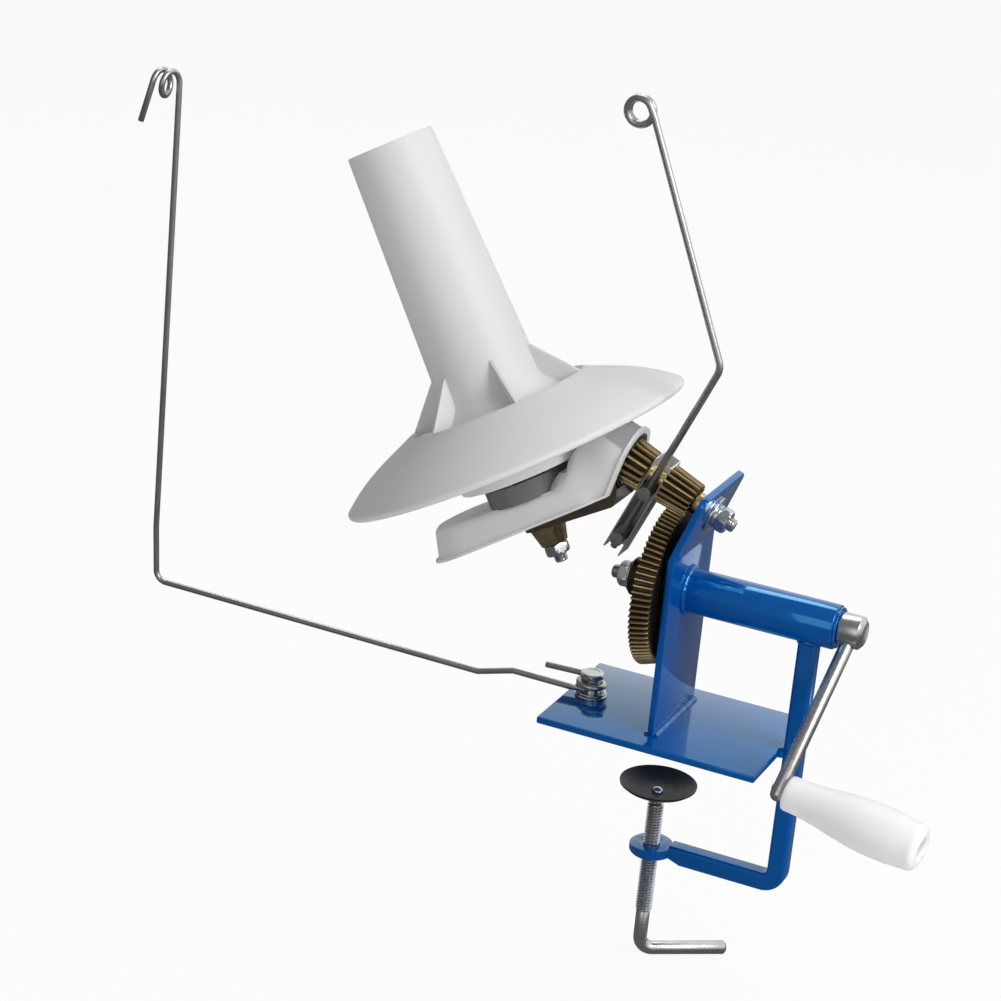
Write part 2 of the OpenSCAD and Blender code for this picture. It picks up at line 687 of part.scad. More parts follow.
module idler_pin() {
    color("silver") on_spindle(arm_bottom + 1, idler_t) {
        cylinder(r = idler_pin_r, h = idler_level + 6 - arm_bottom - 1);
        translate([0, 0, idler_level + 6 - arm_bottom - 1]) cylinder(r = idler_pin_r + 1.5, h = 1.2);
    }
}

// The housing's shell and the space in it are the same shape, grow apart
module house_shape(grow, drop) {
    module wall_cone(r) {
        cylinder(r1 = r + house_draft, r2 = r, h = house_h - 3.5 + drop);
        translate([0, 0, house_h - 3.5 + drop]) cylinder(r1 = r, r2 = r - 0.9, h = 2);
        translate([0, 0, house_h - 1.5 + drop]) cylinder(r1 = r - 0.9, r2 = r - 2.8, h = 1.5 + grow);
    }
    hull() {
        on_spindle(rim_plane - drop, -lobe_t) wall_cone(lobe_r - 2.5 + grow, $fn = 40);
        on_spindle(rim_plane - drop, house_right) wall_cone(house_right_r + grow, $fn = 40);
    }
    hull() {
        on_spindle(rim_plane - drop, house_right)
            cylinder(r = house_right_r + grow, h = house_h + grow + drop, $fn = 40);
        on_main(mouth_v - 18) cylinder(r = hood_r + grow, h = hood_l + 18 + grow, $fn = 40);
    }
}
house_right = 33;
house_right_r = 22.3;
hood_l = 25.5;
hub_clear = cone_hub_r + 2.5;
module house_solid(grow, drop, keep) {
    difference() {
        house_shape(grow, drop);
        on_spindle(-cone_hub_level - 5.5 + grow) cylinder(r = keep, h = 60);
    }
}
// A slab square to the hood's mouth, from low to high behind it
module mouth_slab(low, high) {
    on_main(mouth_v) rotate([0, -mouth_lean, 0]) translate([-150, -60, low]) cube([300, 120, high - low]);
}
// A slab level with the housing's rim, from low to high above it
module rim_slab(low, high) {
    on_spindle(rim_plane, -lobe_t - lobe_r) rotate([0, -rim_lean, 0]) translate([-50, -60, low])
        cube([250, 120, high - low]);
}
module gear_housing() {
    color("white") difference() {
        union() {
            difference() {
                house_solid(0, 0, hub_clear);
                mouth_slab(-60, 0);
                rim_slab(-40, 0);
            }
            intersection() {
                house_shape(1.6, 0);
                mouth_slab(0, 1.8);
                rim_slab(0, 120);
            }
            intersection() {
                house_shape(2, 0);
                rim_slab(0, 1.4);
                mouth_slab(0, 160);
            }
            on_spindle(-house_top - 0.5) cylinder(r = collar_r, h = 6.5);
        }
        difference() {
            house_solid(-house_wall, 2, hub_clear + house_wall);
            on_spindle(arm_top, -lobe_t) cylinder(r = 5, h = 30);
        }
        on_spindle(-house_top - 3) cylinder(r = collar_r - 2, h = 7);
        on_spindle(-house_top - 5) cylinder(r = 12, h = 20);
        on_spindle(arm_top - 1, -lobe_t) cylinder(r = house_screw_r, h = 11);
    }
}
module housing_screw() {
    color("silver") on_spindle(arm_top - tail_t, -lobe_t) {
        cylinder(r = house_screw_r, h = tail_t + 9);
        translate([0, 0, -1.6]) cylinder(r = 3.8, h = 1.6);
    }
}

// The flange, its inner rim and the floor of its well
module yarn_cone() {
    under = floor_level - cone_wall;
    low = -flange_level - cone_wall;
    run = [flange_r - 1.6 - rim_r, rim_level - flange_level + 1];
    out = flange_bulge * [-run.y, run.x] / norm(run);
    bulged = [for (i = [1 : 7]) run * i / 8 + out * sin(180 * pow(i / 8, 1.3))];
    color("white") on_spindle() rotate_extrude($fn = 96) polygon(concat([
        [tube_r(under) + seat_gap, under], [rim_r - 0.5, under],
        [rim_r + cone_wall * 0.6, -rim_level - cone_wall - 1]],
        [for (p = bulged) if (p.x > 3) [rim_r + p.x, p.y - rim_level - cone_wall - 0.6]],
        [[flange_r - 1.6, low + 0.2], [flange_r - 0.5, low + 0.4],
        [flange_r, low + 1.6], [flange_r - 0.4, -flange_level + 0.3],
        [flange_r - 1.6, -flange_level + 1]],
        [for (i = [6 : -1 : 0]) [rim_r + bulged[i].x, bulged[i].y - rim_level]],
        [[rim_r, -rim_level], [rim_r - rim_t, -rim_level],
        [rim_r - rim_t - 0.4, floor_level], [tube_r(under) + seat_gap, floor_level]]));
}
module winding_tube() {
    color("white") on_spindle() difference() {
        rotate_extrude($fn = 96) polygon([[tube_r(tube_foot) - cone_wall, tube_foot],
            [tube_r(tube_foot), tube_foot], [tube_r_top, tube_top], [tube_r_top - cone_wall, tube_top]]);
        translate([0, 0, tube_top - 3]) rotate(-62) translate([tube_r_top - 4, -2.5, 0]) cube([8, 5, 4]);
    }
}
// The hub under the flange, with the boss that holds the bush
module cone_hub() {
    shelf = -cone_hub_level + hub_floor;
    brim = floor_level - cone_wall - seat_gap;
    color("white") on_spindle() rotate_extrude($fn = 96) polygon([
        [bush_d / 2, -cone_hub_level], [cone_hub_r, -cone_hub_level], [cone_hub_r, brim],
        [cone_hub_r - hub_wall, brim], [cone_hub_r - hub_wall, shelf],
        [bush_d / 2 + 4, shelf], [bush_d / 2 + 3.5, bush_top], [bush_d / 2, bush_top]]);
}
module cone_ribs() {
    color("white") on_spindle() for (i = [0 : ribs - 1]) rotate(i * 360 / ribs + rib_turn) rotate([90, 0, 0])
        translate([0, 0, -rib_t / 2]) linear_extrude(height = rib_t) polygon([
            [tube_r(floor_level) + seat_gap, floor_level + seat_gap],
            [rim_r - rim_t - 0.4 - rib_gap, floor_level + seat_gap],
            [rim_r - rim_t - rib_gap, -rim_level - 0.2],
            [tube_r(rib_top) + seat_gap + 0.6, rib_top], [tube_r(rib_top) + seat_gap, rib_top]]);
}
module cone_bush() {
    color("goldenrod") on_spindle(-cone_hub_level) {
        ring(bush_d / 2, axle_d / 2 + run_fit - seat_gap, bush_top + cone_hub_level);
        translate([0, 0, bush_top + cone_hub_level]) ring(9, axle_d / 2 + run_fit - seat_gap, 1.5);
    }
}
module spindle_gear() {
    color("darkgoldenrod") on_spindle(spur_level) difference() {
        union() {
            spur_teeth(spindle_teeth, spur_module, spur_t - 0.5, 180 / spindle_teeth);
            cylinder(r = 10, h = -cone_hub_level - spur_level);
        }
        translate([0, 0, -1]) cylinder(r = axle_d / 2 + run_fit, h = 60);
    }
}
module idler_gear() {
    color("darkgoldenrod") on_spindle(spur_level, idler_t) difference() {
        union() {
            spur_teeth(idler_spur_teeth, spur_module, spur_t + 0.5, 180);
            translate([0, 0, spur_t]) cylinder(r = idler_r - 2, h = web_t + 1);
            translate([0, 0, spur_t + web_t])
                bevel_teeth(idler_bevel_teeth, idler_r, bevel_module, idler_cone, bevel_w,
                    180 / idler_bevel_teeth);
        }
        translate([0, 0, -1]) cylinder(r = idler_pin_r + run_fit, h = 40);
    }
}

pivot_stack = 3.2;
coil_z = base_t + pivot_stack + guide_d / 2 + 0.2;
module pivot_washer() {
    color("silver") translate([-pivot_back, 0, base_t])
        ring(9.3, axle_d / 2, pivot_stack - 0.1);
}
module pivot_bolt() {
    shoulder = 2 * guide_d + 1;
    color("silver") translate([-pivot_back, 0, 0]) {
        cylinder(d = axle_d, h = base_t + pivot_stack + 1);
        translate([0, 0, base_t + pivot_stack - 0.1])
            cylinder(r = coil_r - guide_d / 2 - 0.25, h = shoulder);
        translate([0, 0, base_t + pivot_stack + shoulder - 0.1]) rotate(15) hex_nut(nut_flats, 5.3, 0.1);
    }
}
module yarn_guide() {
    y = -coil_r;
    pivot = [-pivot_back, 0, coil_z + guide_d * 0.5 + 0.1];
    hook_mid = [-upright_back + guide_lean - 4.5, y - hook_r, hook_z];
    a = [-pivot_back - 10, y, coil_z];
    b = [-pivot_back - 46, y, coil_z + 0.2];
    c = [-pivot_back - 68, y, 3];
    d = [-upright_back + 2, y, 5];
    e = [-upright_back, y, 60];
    tail = [-pivot_back, coil_r, coil_z + guide_d + 0.2];
    path = concat([tail + [-31, -2.5, 0.2]], [tail + [-7, -0.2, 0]],
        coil(pivot, [-1, 0, 0], [0, 1, 0], [0, 0, -1], coil_r, 90, -450, guide_d + 0.2, 36),
        [a], corner(a, b, c, 8, 4), corner(b, c, d, 8, 4), corner(c, d, e, 7, 8),
        [for (i = [1 : 7]) [-upright_back + guide_lean * i / 8, y, hook_z * i / 8]],
        coil(hook_mid, [0, 1, 0], [0, 0, 1], [-1, 0, 0], hook_r, 0, 530, 9, 36),
        [hook_mid + [-9.5, -hook_r - 3, -22]]);
    color("dimgray") wire(path, guide_d / 2);
}

module clamp_screw() {
    head = neck_top + pad_t + 0.2;
    elbow = rod_d;
    foot = screw_low + elbow;
    rod = rod_d / 2;
    arm = handle_l - elbow;
    color("silver") translate([-screw_back, 0, 0]) {
        rotate_extrude() polygon(concat([[0, foot - 1], [rod - 1, foot - 1], [rod - 1, foot], [rod, foot],
            [rod, screw_top - thread_l - 0.8], [screw_d / 2, screw_top - thread_l],
            [screw_d / 2, screw_top - 1.2], [neck_r + 0.6, screw_top], [neck_r, screw_top],
            [neck_r, neck_top], [rivet_r, neck_top], [rivet_r, head]],
            [for (a = [0 : 22.5 : 67.5]) [dome_r * cos(a), head + dome_h * sin(a)]], [[0, head + dome_h]]));
        rotate(handle_turn) translate([elbow, 0, foot]) rotate([90, 0, 0]) rotate(180)
            rotate_extrude(angle = 90) translate([elbow, 0]) circle(r = rod);
        rotate(handle_turn) translate([elbow, 0, screw_low]) rotate([0, 90, 0]) rotate_extrude()
            polygon([[0, -1], [rod - 1, -1], [rod - 1, 0], [rod, 0], [rod, arm - 1.5],
                [rod - 0.5, arm - 0.5], [rod - 1.8, arm], [0, arm]]);
    }
}
// The dish's height at radius x, flat in the middle and rising to the rim
function dish(x) = pad_depth * pow(max(0, (x / (pad_d / 2) - 0.35) / 0.65), 1.6);
module clamp_pad() {
    r = pad_d / 2;
    steps = [for (i = [1 : 6]) r * (0.35 + 0.65 * i / 6)];
    color("darkslategray") translate([-screw_back, 0, -pad_gap - pad_depth]) rotate_extrude($fn = 64)
        polygon(concat([[rivet_r + run_fit, 0], [r * 0.35, 0]], [for (x = steps) [x, dish(x)]],
            [for (i = [5 : -1 : 0]) [steps[i] - 0.2, dish(steps[i]) - (i == 5 ? 1 : pad_t)]],
            [[r * 0.35, -pad_t], [rivet_r + run_fit, -pad_t]]));
}

base_plate();
post_plate();
crank_tube();
clamp_bar();
tube_bush_left();
tube_bush_right();
main_shaft();
head_washer();
spring_washer();
head_nut();
shaft_collar();
thrust_washer();
spindle_arm();
spindle_shaft();
spindle_foot_nut();
spindle_top_nut();
gear_washer();
gear_housing();
housing_screw();
idler_pin();
pivot_bolt();
pivot_washer();
crank_shaft();
drive_gear();
gear_hub();
crank_washer();
crank_nut();
crank_hub();
crank_arm();
grip_pin();
hand_grip();
pinion_sleeve();
lower_pinion();
upper_pinion();
bevel_pinion();
flyer_channel();
flyer_wire();
upper_clip();
lower_clip();
idler_gear();
yarn_cone();
winding_tube();
cone_hub();
cone_ribs();
cone_bush();
spindle_gear();
yarn_guide();
clamp_pad();
clamp_screw();
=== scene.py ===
from math import acos, atan2, cos, pi, radians, sin, tan

import bmesh
import bpy
from mathutils import Matrix, Vector

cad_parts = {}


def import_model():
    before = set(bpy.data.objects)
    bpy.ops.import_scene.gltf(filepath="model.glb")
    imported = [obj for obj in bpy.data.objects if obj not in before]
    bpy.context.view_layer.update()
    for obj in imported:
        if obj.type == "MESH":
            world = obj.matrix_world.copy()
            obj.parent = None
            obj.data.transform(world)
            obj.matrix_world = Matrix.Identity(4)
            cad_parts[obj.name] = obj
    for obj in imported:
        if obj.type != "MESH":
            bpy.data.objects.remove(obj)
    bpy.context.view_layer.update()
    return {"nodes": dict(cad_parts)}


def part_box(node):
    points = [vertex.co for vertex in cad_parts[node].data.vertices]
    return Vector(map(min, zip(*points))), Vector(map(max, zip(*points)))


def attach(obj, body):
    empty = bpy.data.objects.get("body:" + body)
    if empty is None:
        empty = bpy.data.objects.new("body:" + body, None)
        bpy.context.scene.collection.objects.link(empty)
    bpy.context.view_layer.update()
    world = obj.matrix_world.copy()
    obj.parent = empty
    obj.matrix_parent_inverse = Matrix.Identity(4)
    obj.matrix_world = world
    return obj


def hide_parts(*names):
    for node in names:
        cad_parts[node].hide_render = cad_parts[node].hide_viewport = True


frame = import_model()
print("frame loaded:", len(frame["nodes"]), "nodes")

# lengths below are in millimetres, as in the CAD; meshes are scaled to metres when a piece is added
# the three tilted axes: z of each matrix runs along the axis, x stays in the plane y = 0
axes = {"tilt": 20.5, "coneTilt": 59.6, "hole": (4.545, 0, 131.355), "meet": 152.5, "crankHeight": 82.5}


def turnY(degrees):
    return Matrix.Rotation(radians(degrees), 4, "Y")


def onMain(v=0.0):
    turn = turnY(axes["tilt"] - 90)
    return Matrix.Translation(Vector(axes["hole"]) + turn @ Vector((0, 0, v))) @ turn


def onSpindle(level=0.0):
    meet = onMain(axes["meet"]).to_translation()
    return Matrix.Translation(meet) @ turnY(axes["coneTilt"] - 90) @ Matrix.Translation((0, 0, level))


def onCrank(x=0.0):
    return Matrix.Translation((x, 0, axes["crankHeight"])) @ turnY(90)


# materials
def newMaterial(name, colour, roughness, metallic=0.0, coat=0.0, coatRoughness=0.1, ior=1.5):
    mat = bpy.data.materials.new(name)
    mat.use_nodes = True
    nodes, links = mat.node_tree.nodes, mat.node_tree.links
    shader = nodes["Principled BSDF"]
    shader.inputs["Base Color"].default_value = (*colour, 1)
    shader.inputs["Roughness"].default_value = roughness
    shader.inputs["Metallic"].default_value = metallic
    shader.inputs["Coat Weight"].default_value = coat
    shader.inputs["Coat Roughness"].default_value = coatRoughness
    shader.inputs["IOR"].default_value = ior
    place = nodes.new("ShaderNodeTexCoord")
    return mat, nodes, links, shader, place.outputs["Object"]


def noise(nodes, links, place, scale, detail):
    tex = nodes.new("ShaderNodeTexNoise")
    tex.inputs["Scale"].default_value = scale
    tex.inputs["Detail"].default_value = detail
    links.new(place, tex.inputs["Vector"])
    return tex.outputs["Fac"]


def ramp(nodes, links, source, stops):
    node = nodes.new("ShaderNodeValToRGB")
    band = node.color_ramp
    while len(band.elements) < len(stops):
        band.elements.new(0.5)
    for element, (at, colour) in zip(band.elements, stops):
        element.position = at
        element.color = (*colour, 1)
    links.new(source, node.inputs["Fac"])
    return node.outputs["Color"]


def bump(nodes, links, shader, height, strength, distance=0.0002):
    node = nodes.new("ShaderNodeBump")
    node.inputs["Strength"].default_value = strength
    node.inputs["Distance"].default_value = distance
    links.new(height, node.inputs["Height"])
    links.new(node.outputs["Normal"], shader.inputs["Normal"])


# the stops of a ramp between two colours or two greys, over the middle of a noise
def between(low, high):
    return [(0.3, low), (0.7, high)]


def finish(name, look):
    mat, nodes, links, shader, place = newMaterial(
        name, look["colour"], look["roughness"], look.get("metallic", 0), look.get("coat", 0),
        look.get("coatRoughness", 0.1), look.get("ior", 1.5))
    shader.inputs["Specular IOR Level"].default_value = look.get("specular", 0.5)
    shader.inputs["Specular Tint"].default_value = (*look.get("tint", (1, 1, 1)), 1)
    cloud = noise(nodes, links, place, look["cloudScale"], 4)
    dark, light = (tuple(min(1, c * share) for c in look["colour"]) for share in look["shade"])
    links.new(ramp(nodes, links, cloud, between(dark, light)), shader.inputs["Base Color"])
    rough, spread = look["roughness"], look.get("roughSpread", 0.06)
    grain = noise(nodes, links, place, look["grainScale"], 3)
    greys = between((rough - spread,) * 3, (rough + spread,) * 3)
    links.new(ramp(nodes, links, grain, greys), shader.inputs["Roughness"])
    bump(nodes, links, shader, grain, look["bump"])
    return mat


# cloudScale and shade vary the colour; grainScale, roughSpread and bump vary the gloss
looks = {
    "bluePaint": {"colour": (0.0, 0.078, 0.345), "roughness": 0.08, "ior": 2.0, "tint": (0.1, 0.65, 1.0),
                  "coat": 0.45, "coatRoughness": 0.03, "cloudScale": 14, "grainScale": 90, "bump": 0.02,
                  "roughSpread": 0.02, "shade": (0.95, 1.05)},
    "whitePlastic": {"colour": (0.755, 0.755, 0.75), "roughness": 0.5, "specular": 0.3, "cloudScale": 10,
                     "grainScale": 300, "bump": 0.01, "shade": (0.985, 1.01)},
    "gripPlastic": {"colour": (0.98, 0.965, 0.97), "roughness": 0.42, "specular": 0.4, "cloudScale": 30,
                    "grainScale": 300, "bump": 0.01, "shade": (0.985, 1.01)},
    "zincPlate": {"colour": (0.6, 0.62, 0.64), "roughness": 0.28, "metallic": 1.0, "cloudScale": 120,
                  "grainScale": 400, "bump": 0.02, "roughSpread": 0.03, "shade": (0.88, 1.06)},
    "channelZinc": {"colour": (0.85, 0.87, 0.86), "roughness": 0.42, "metallic": 1.0, "cloudScale": 90,
                    "grainScale": 400, "bump": 0.02, "roughSpread": 0.03, "shade": (0.88, 1.06)},
    "wireSteel": {"colour": (0.5, 0.5, 0.49), "roughness": 0.36, "metallic": 1.0, "cloudScale": 50,
                  "grainScale": 300, "bump": 0.01, "roughSpread": 0.03, "shade": (0.88, 1.08)},
    "crankSteel": {"colour": (0.6, 0.605, 0.61), "roughness": 0.3, "metallic": 1.0, "cloudScale": 70,
                   "grainScale": 400, "bump": 0.02, "roughSpread": 0.04, "shade": (0.9, 1.05)},
    "clipSteel": {"colour": (0.15, 0.155, 0.15), "roughness": 0.5, "metallic": 0.3, "cloudScale": 200,
                  "grainScale": 900, "bump": 0.03, "shade": (0.93, 1.06)},
    # painted shade: the housing's white collar, darkened as it lies under the cone's flange
    "collarShade": {"colour": (0.16, 0.16, 0.155), "roughness": 0.6, "specular": 0.3, "cloudScale": 60,
                   "grainScale": 400, "bump": 0.02, "shade": (0.9, 1.06)},
    "padSteel": {"colour": (0.012, 0.017, 0.017), "roughness": 0.42, "specular": 0.35, "cloudScale": 60,
                 "grainScale": 400, "bump": 0.04, "shade": (0.8, 1.2)},
    "brownPaint": {"colour": (0.05, 0.034, 0.016), "roughness": 0.4, "coat": 0.4, "cloudScale": 70,
                   "grainScale": 500, "bump": 0.05, "shade": (0.75, 1.25)},
    "bossGold": {"colour": (0.4, 0.31, 0.17), "roughness": 0.3, "metallic": 0.9, "cloudScale": 90,
                 "grainScale": 500, "bump": 0.05, "shade": (0.75, 1.15)},
    "brassBush": {"colour": (0.62, 0.47, 0.22), "roughness": 0.3, "metallic": 1.0, "cloudScale": 90,
                  "grainScale": 500, "bump": 0.04, "shade": (0.85, 1.1)},
}


# the teeth: painted shade in their gaps, darker painted shade on their flanks, and a painted highlight on
# their ridges
gearLook = {"ridgeHighlight": (0.46, 0.34, 0.17), "gap": (0.045, 0.032, 0.016), "flankShade": 0.55, "metallic": 0.85,
            "stops": (0.05, 0.62, 0.95), "cloudScale": 180, "cloudMix": 0.5, "cloudLow": 0.6,
            "roughness": (0.42, 0.22), "bump": 0.08}


def gearMetal(name, look):
    rough = look["roughness"]
    mat, nodes, links, shader, place = newMaterial(name, look["ridgeHighlight"], 0.3, look["metallic"])
    height = nodes.new("ShaderNodeAttribute")
    height.attribute_name = "toothHeight"
    cloud = noise(nodes, links, place, look["cloudScale"], 4)
    # painted light on the teeth, by the toothHeight attribute: shade in the gaps, a darker flank, a
    # highlight on the ridges
    flankShade = tuple(c * look["flankShade"] for c in look["ridgeHighlight"])
    colours = zip(look["stops"], (look["gap"], flankShade, look["ridgeHighlight"]))
    tone = ramp(nodes, links, height.outputs["Fac"], list(colours))
    mix = nodes.new("ShaderNodeMix")
    mix.data_type = "RGBA"
    mix.blend_type = "MULTIPLY"
    mix.inputs["Factor"].default_value = look["cloudMix"]
    links.new(tone, mix.inputs[6])
    links.new(ramp(nodes, links, cloud, between((look["cloudLow"],) * 3, (1, 1, 1))), mix.inputs[7])
    links.new(mix.outputs[2], shader.inputs["Base Color"])
    greys = between((rough[0],) * 3, (rough[1],) * 3)
    links.new(ramp(nodes, links, cloud, greys), shader.inputs["Roughness"])
    bump(nodes, links, shader, cloud, look["bump"])
    return mat


paints = {name: finish(name, look) for name, look in looks.items()}
paints["gearBronze"] = gearMetal("gearBronze", gearLook)
print("materials:", len(paints))


# building helpers
def addPiece(name, bm, matrix, body, paint, nodes=(), smooth=32):
    bm.transform(Matrix.Scale(0.001, 4) @ matrix)
    mesh = bpy.data.meshes.new(name)
    bm.to_mesh(mesh)
    bm.free()
    return addMesh(name, mesh, body, paint, nodes, smooth)


def addMesh(name, mesh, body, paint, nodes=(), smooth=32):
    piece = bpy.data.objects.new(name, mesh)
    bpy.context.scene.collection.objects.link(piece)
    mesh.materials.clear()
    mesh.materials.append(paints[paint])
    mesh.shade_smooth()
    mesh.set_sharp_from_angle(angle=radians(smooth))
    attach(piece, body)
    if nodes:
        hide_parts(*nodes)
    return piece


def softEdges(bm, width, segments=2, above=30):
    edges = [e for e in bm.edges if len(e.link_faces) == 2 and e.calc_face_angle() > radians(above)]
    bmesh.ops.bevel(bm, geom=edges, offset=width, segments=segments, profile=0.5, affect="EDGES",
                    clamp_overlap=True, material=-1)


def lathe(profile, steps=64, closed=False):
    bm = bmesh.new()
    verts = [bm.verts.new((r, 0, z)) for r, z in profile]
    edges = [bm.edges.new(pair) for pair in zip(verts, verts[1:])]
    if closed:
        edges.append(bm.edges.new((verts[-1], verts[0])))
    bmesh.ops.spin(bm, geom=verts + edges, cent=(0, 0, 0), axis=(0, 0, 1), angle=2 * pi, steps=steps,
                   use_merge=True)
    bmesh.ops.remove_doubles(bm, verts=bm.verts, dist=0.0005)
    bmesh.ops.recalc_face_normals(bm, faces=bm.faces)
    return bm


def merge(target, other):
    mesh = bpy.data.meshes.new("part")
    other.to_mesh(mesh)
    other.free()
    target.from_mesh(mesh)
    bpy.data.meshes.remove(mesh)


# a flat outline drawn out along way into a solid
def drawnOut(outline, way):
    bm = bmesh.new()
    face = bm.faces.new([bm.verts.new(point) for point in outline])
    made = bmesh.ops.extrude_face_region(bm, geom=[face])["geom"]
    bmesh.ops.translate(bm, verts=[m for m in made if isinstance(m, bmesh.types.BMVert)], vec=way)
    bmesh.ops.recalc_face_normals(bm, faces=bm.faces)
    return bm


# keeps a node's shape, with its triangles joined and its edges softened
def cadCopy(node, name, body, paint, width=0.0, segments=2, above=30, smooth=32, change=None):
    bm = bmesh.new()
    bm.from_mesh(frame["nodes"][node].data)
    bmesh.ops.remove_doubles(bm, verts=bm.verts, dist=0.000002)
    bmesh.ops.dissolve_limit(bm, angle_limit=radians(0.5), verts=bm.verts, edges=bm.edges)
    if change:
        change(bm)
    if width:
        softEdges(bm, width / 1000, segments, above)
    mesh = bpy.data.meshes.new(name)
    bm.to_mesh(mesh)
    bm.free()
    return addMesh(name, mesh, body, paint, (node,), smooth)


# the rounded corner at b, as points on an arc from the line b-a to the line b-c
def corner(a, b, c, radius, steps):
    a, b, c = Vector(a), Vector(b), Vector(c)
    u, v = (a - b).normalized(), (c - b).normalized()
    half = acos(max(-1, min(1, u.dot(v)))) / 2
    mid = b + (u + v).normalized() * radius / sin(half)
    s, e, turn = b + u * radius / tan(half) - mid, b + v * radius / tan(half) - mid, pi - 2 * half
    return [mid + (sin(turn * (1 - i / steps)) * s + sin(turn * i / steps) * e) / sin(turn)
            for i in range(steps + 1)]


# turns round mid in the plane of u and v, from start to stop degrees, rising along w
def coil(mid, u, v, w, radius, start, stop, rise, steps):
    mid, u, v, w = Vector(mid), Vector(u), Vector(v), Vector(w)
    points = []
    for i in range(steps + 1):
        a = radians(start + (stop - start) * i / steps)
        points.append(mid + radius * (cos(a) * u + sin(a) * v) + (rise * i / steps - rise / 2) * w)
    return points


def roundCurve(name, points, radius, roundness):
    curve = bpy.data.curves.new(name, "CURVE")
    curve.dimensions = "3D"
    curve.bevel_depth = radius / 1000
    curve.bevel_resolution = roundness
    curve.use_fill_caps = True
    spline = curve.splines.new("POLY")
    spline.points.add(len(points) - 1)
    for point, at in zip(spline.points, points):
        point.co = (*(at / 1000), 1)
    return curve, spline.points


# a round wire along the points, with both cut ends turned down by cut
def wire(name, points, radius, body, paint, nodes, matrix=Matrix(), cut=0.4):
    points = [Vector(point) for point in points]
    head, tail = (points[1] - points[0]).normalized() * cut, (points[-2] - points[-1]).normalized() * cut
    points = [points[0], points[0] + head] + points[1:-1] + [points[-1] + tail, points[-1]]
    curve, places = roundCurve(name, [matrix @ at for at in points], radius, 8)
    places[0].radius = places[-1].radius = 1 - cut / radius
    return meshFromCurve(name, curve, body, paint, nodes, 50)


def meshFromCurve(name, curve, body, paint, nodes, smooth):
    holder = bpy.data.objects.new(name, curve)
    bpy.context.scene.collection.objects.link(holder)
    bpy.context.view_layer.update()
    mesh = bpy.data.meshes.new_from_object(holder.evaluated_get(bpy.context.evaluated_depsgraph_get()))
    bpy.data.objects.remove(holder)
    bpy.data.curves.remove(curve)
    bm = bmesh.new()
    bm.from_mesh(mesh)
    bmesh.ops.remove_doubles(bm, verts=bm.verts, dist=0.000001)
    bmesh.ops.recalc_face_normals(bm, faces=bm.faces)
    bm.to_mesh(mesh)
    bm.free()
    return addMesh(name, mesh, body, paint, nodes, smooth)


# one tooth from gap to gap: share of the tooth's step, and height above the pitch line in modules
toothRoot, toothTip = -1.15, 0.9
toothOutline = [(-0.5, toothRoot), (-0.33, toothRoot), (-0.29, -1.0), (-0.2, 0.0), (-0.115, 0.8),
                (-0.09, toothTip), (0.09, toothTip), (0.115, 0.8), (0.2, 0.0), (0.29, -1.0),
                (0.33, toothRoot), (0.5, toothRoot)]


# rows run round the wheel's section: ("r", radius, z) is plain, ("t", scale, z) follows the teeth
def toothed(teeth, pitch, module, rows, phase, swell=1.0):
    step = 2 * pi / teeth
    bm = bmesh.new()
    layer = bm.verts.layers.float.new("toothHeight")

    def row(kind, value, z):
        points = []
        for share, rise in toothOutline:
            radius = value if kind == "r" else (pitch + rise * module) * value
            height = (rise - toothRoot) / (toothTip - toothRoot) if kind == "t" else 0.0
            a = share * (swell if abs(share) < 0.5 else 1) * step + radians(phase)
            points.append((Vector((radius * cos(a), radius * sin(a), z)), height))
        return points

    first = [bm.verts.new(p) for p, h in row(*rows[0])]
    edges = [bm.edges.new(pair) for pair in zip(first, first[1:])]
    for item in rows[1:]:
        made = bmesh.ops.extrude_edge_only(bm, edges=edges)["geom"]
        edges = [g for g in made if isinstance(g, bmesh.types.BMEdge)]
        first = orderLike(first, [g for g in made if isinstance(g, bmesh.types.BMVert)])
        for vert, (point, height) in zip(first, row(*item)):
            vert.co = point
            vert[layer] = height
    bmesh.ops.spin(bm, geom=bm.verts[:] + bm.edges[:] + bm.faces[:], cent=(0, 0, 0), axis=(0, 0, 1),
                   angle=2 * pi * (teeth - 1) / teeth, steps=teeth - 1, use_duplicate=True)
    bmesh.ops.remove_doubles(bm, verts=bm.verts, dist=0.002)
    bmesh.ops.recalc_face_normals(bm, faces=bm.faces)
    return bm


# the extruded vertices in the order of the ones that they came from
def orderLike(old, new):
    twin = {}
    for vert in new:
        for edge in vert.link_edges:
            other = edge.other_vert(vert)
            if other in old:
                twin[other] = vert
    return [twin[v] for v in old]


# a turned blank whose outside is then drawn in to six flats
def hexNut(flats, height, bore, turn=0.0):
    cut = 0.5
    foot, top = [(bore, cut), (bore + cut, 0.0)], [(bore + cut, height), (bore, height - cut)]
    return sixFlats(lathe(foot + hexRim(flats, height) + top, 72, True), flats, turn)


# the chamfered outside of a hexagon, from its lower face to its upper one
def hexRim(flats, height):
    half = flats / 2
    rim = [(half - 0.5, 0.0), (half + 0.05, 0.35), (half + 0.55, 0.75), (flats, 1.4)]
    return rim + [(r, height - z) for r, z in reversed(rim)]


def sixFlats(bm, flats, turn):
    half = flats / 2
    for vert in bm.verts:
        angle = atan2(vert.co.y, vert.co.x)
        flat = half / cos((angle + pi / 6) % (pi / 3) - pi / 6)
        radius = vert.co.xy.length
        if radius > flat:
            vert.co.xy = vert.co.xy * flat / radius
    bm.transform(Matrix.Rotation(radians(turn), 4, "Z"))
    return bm


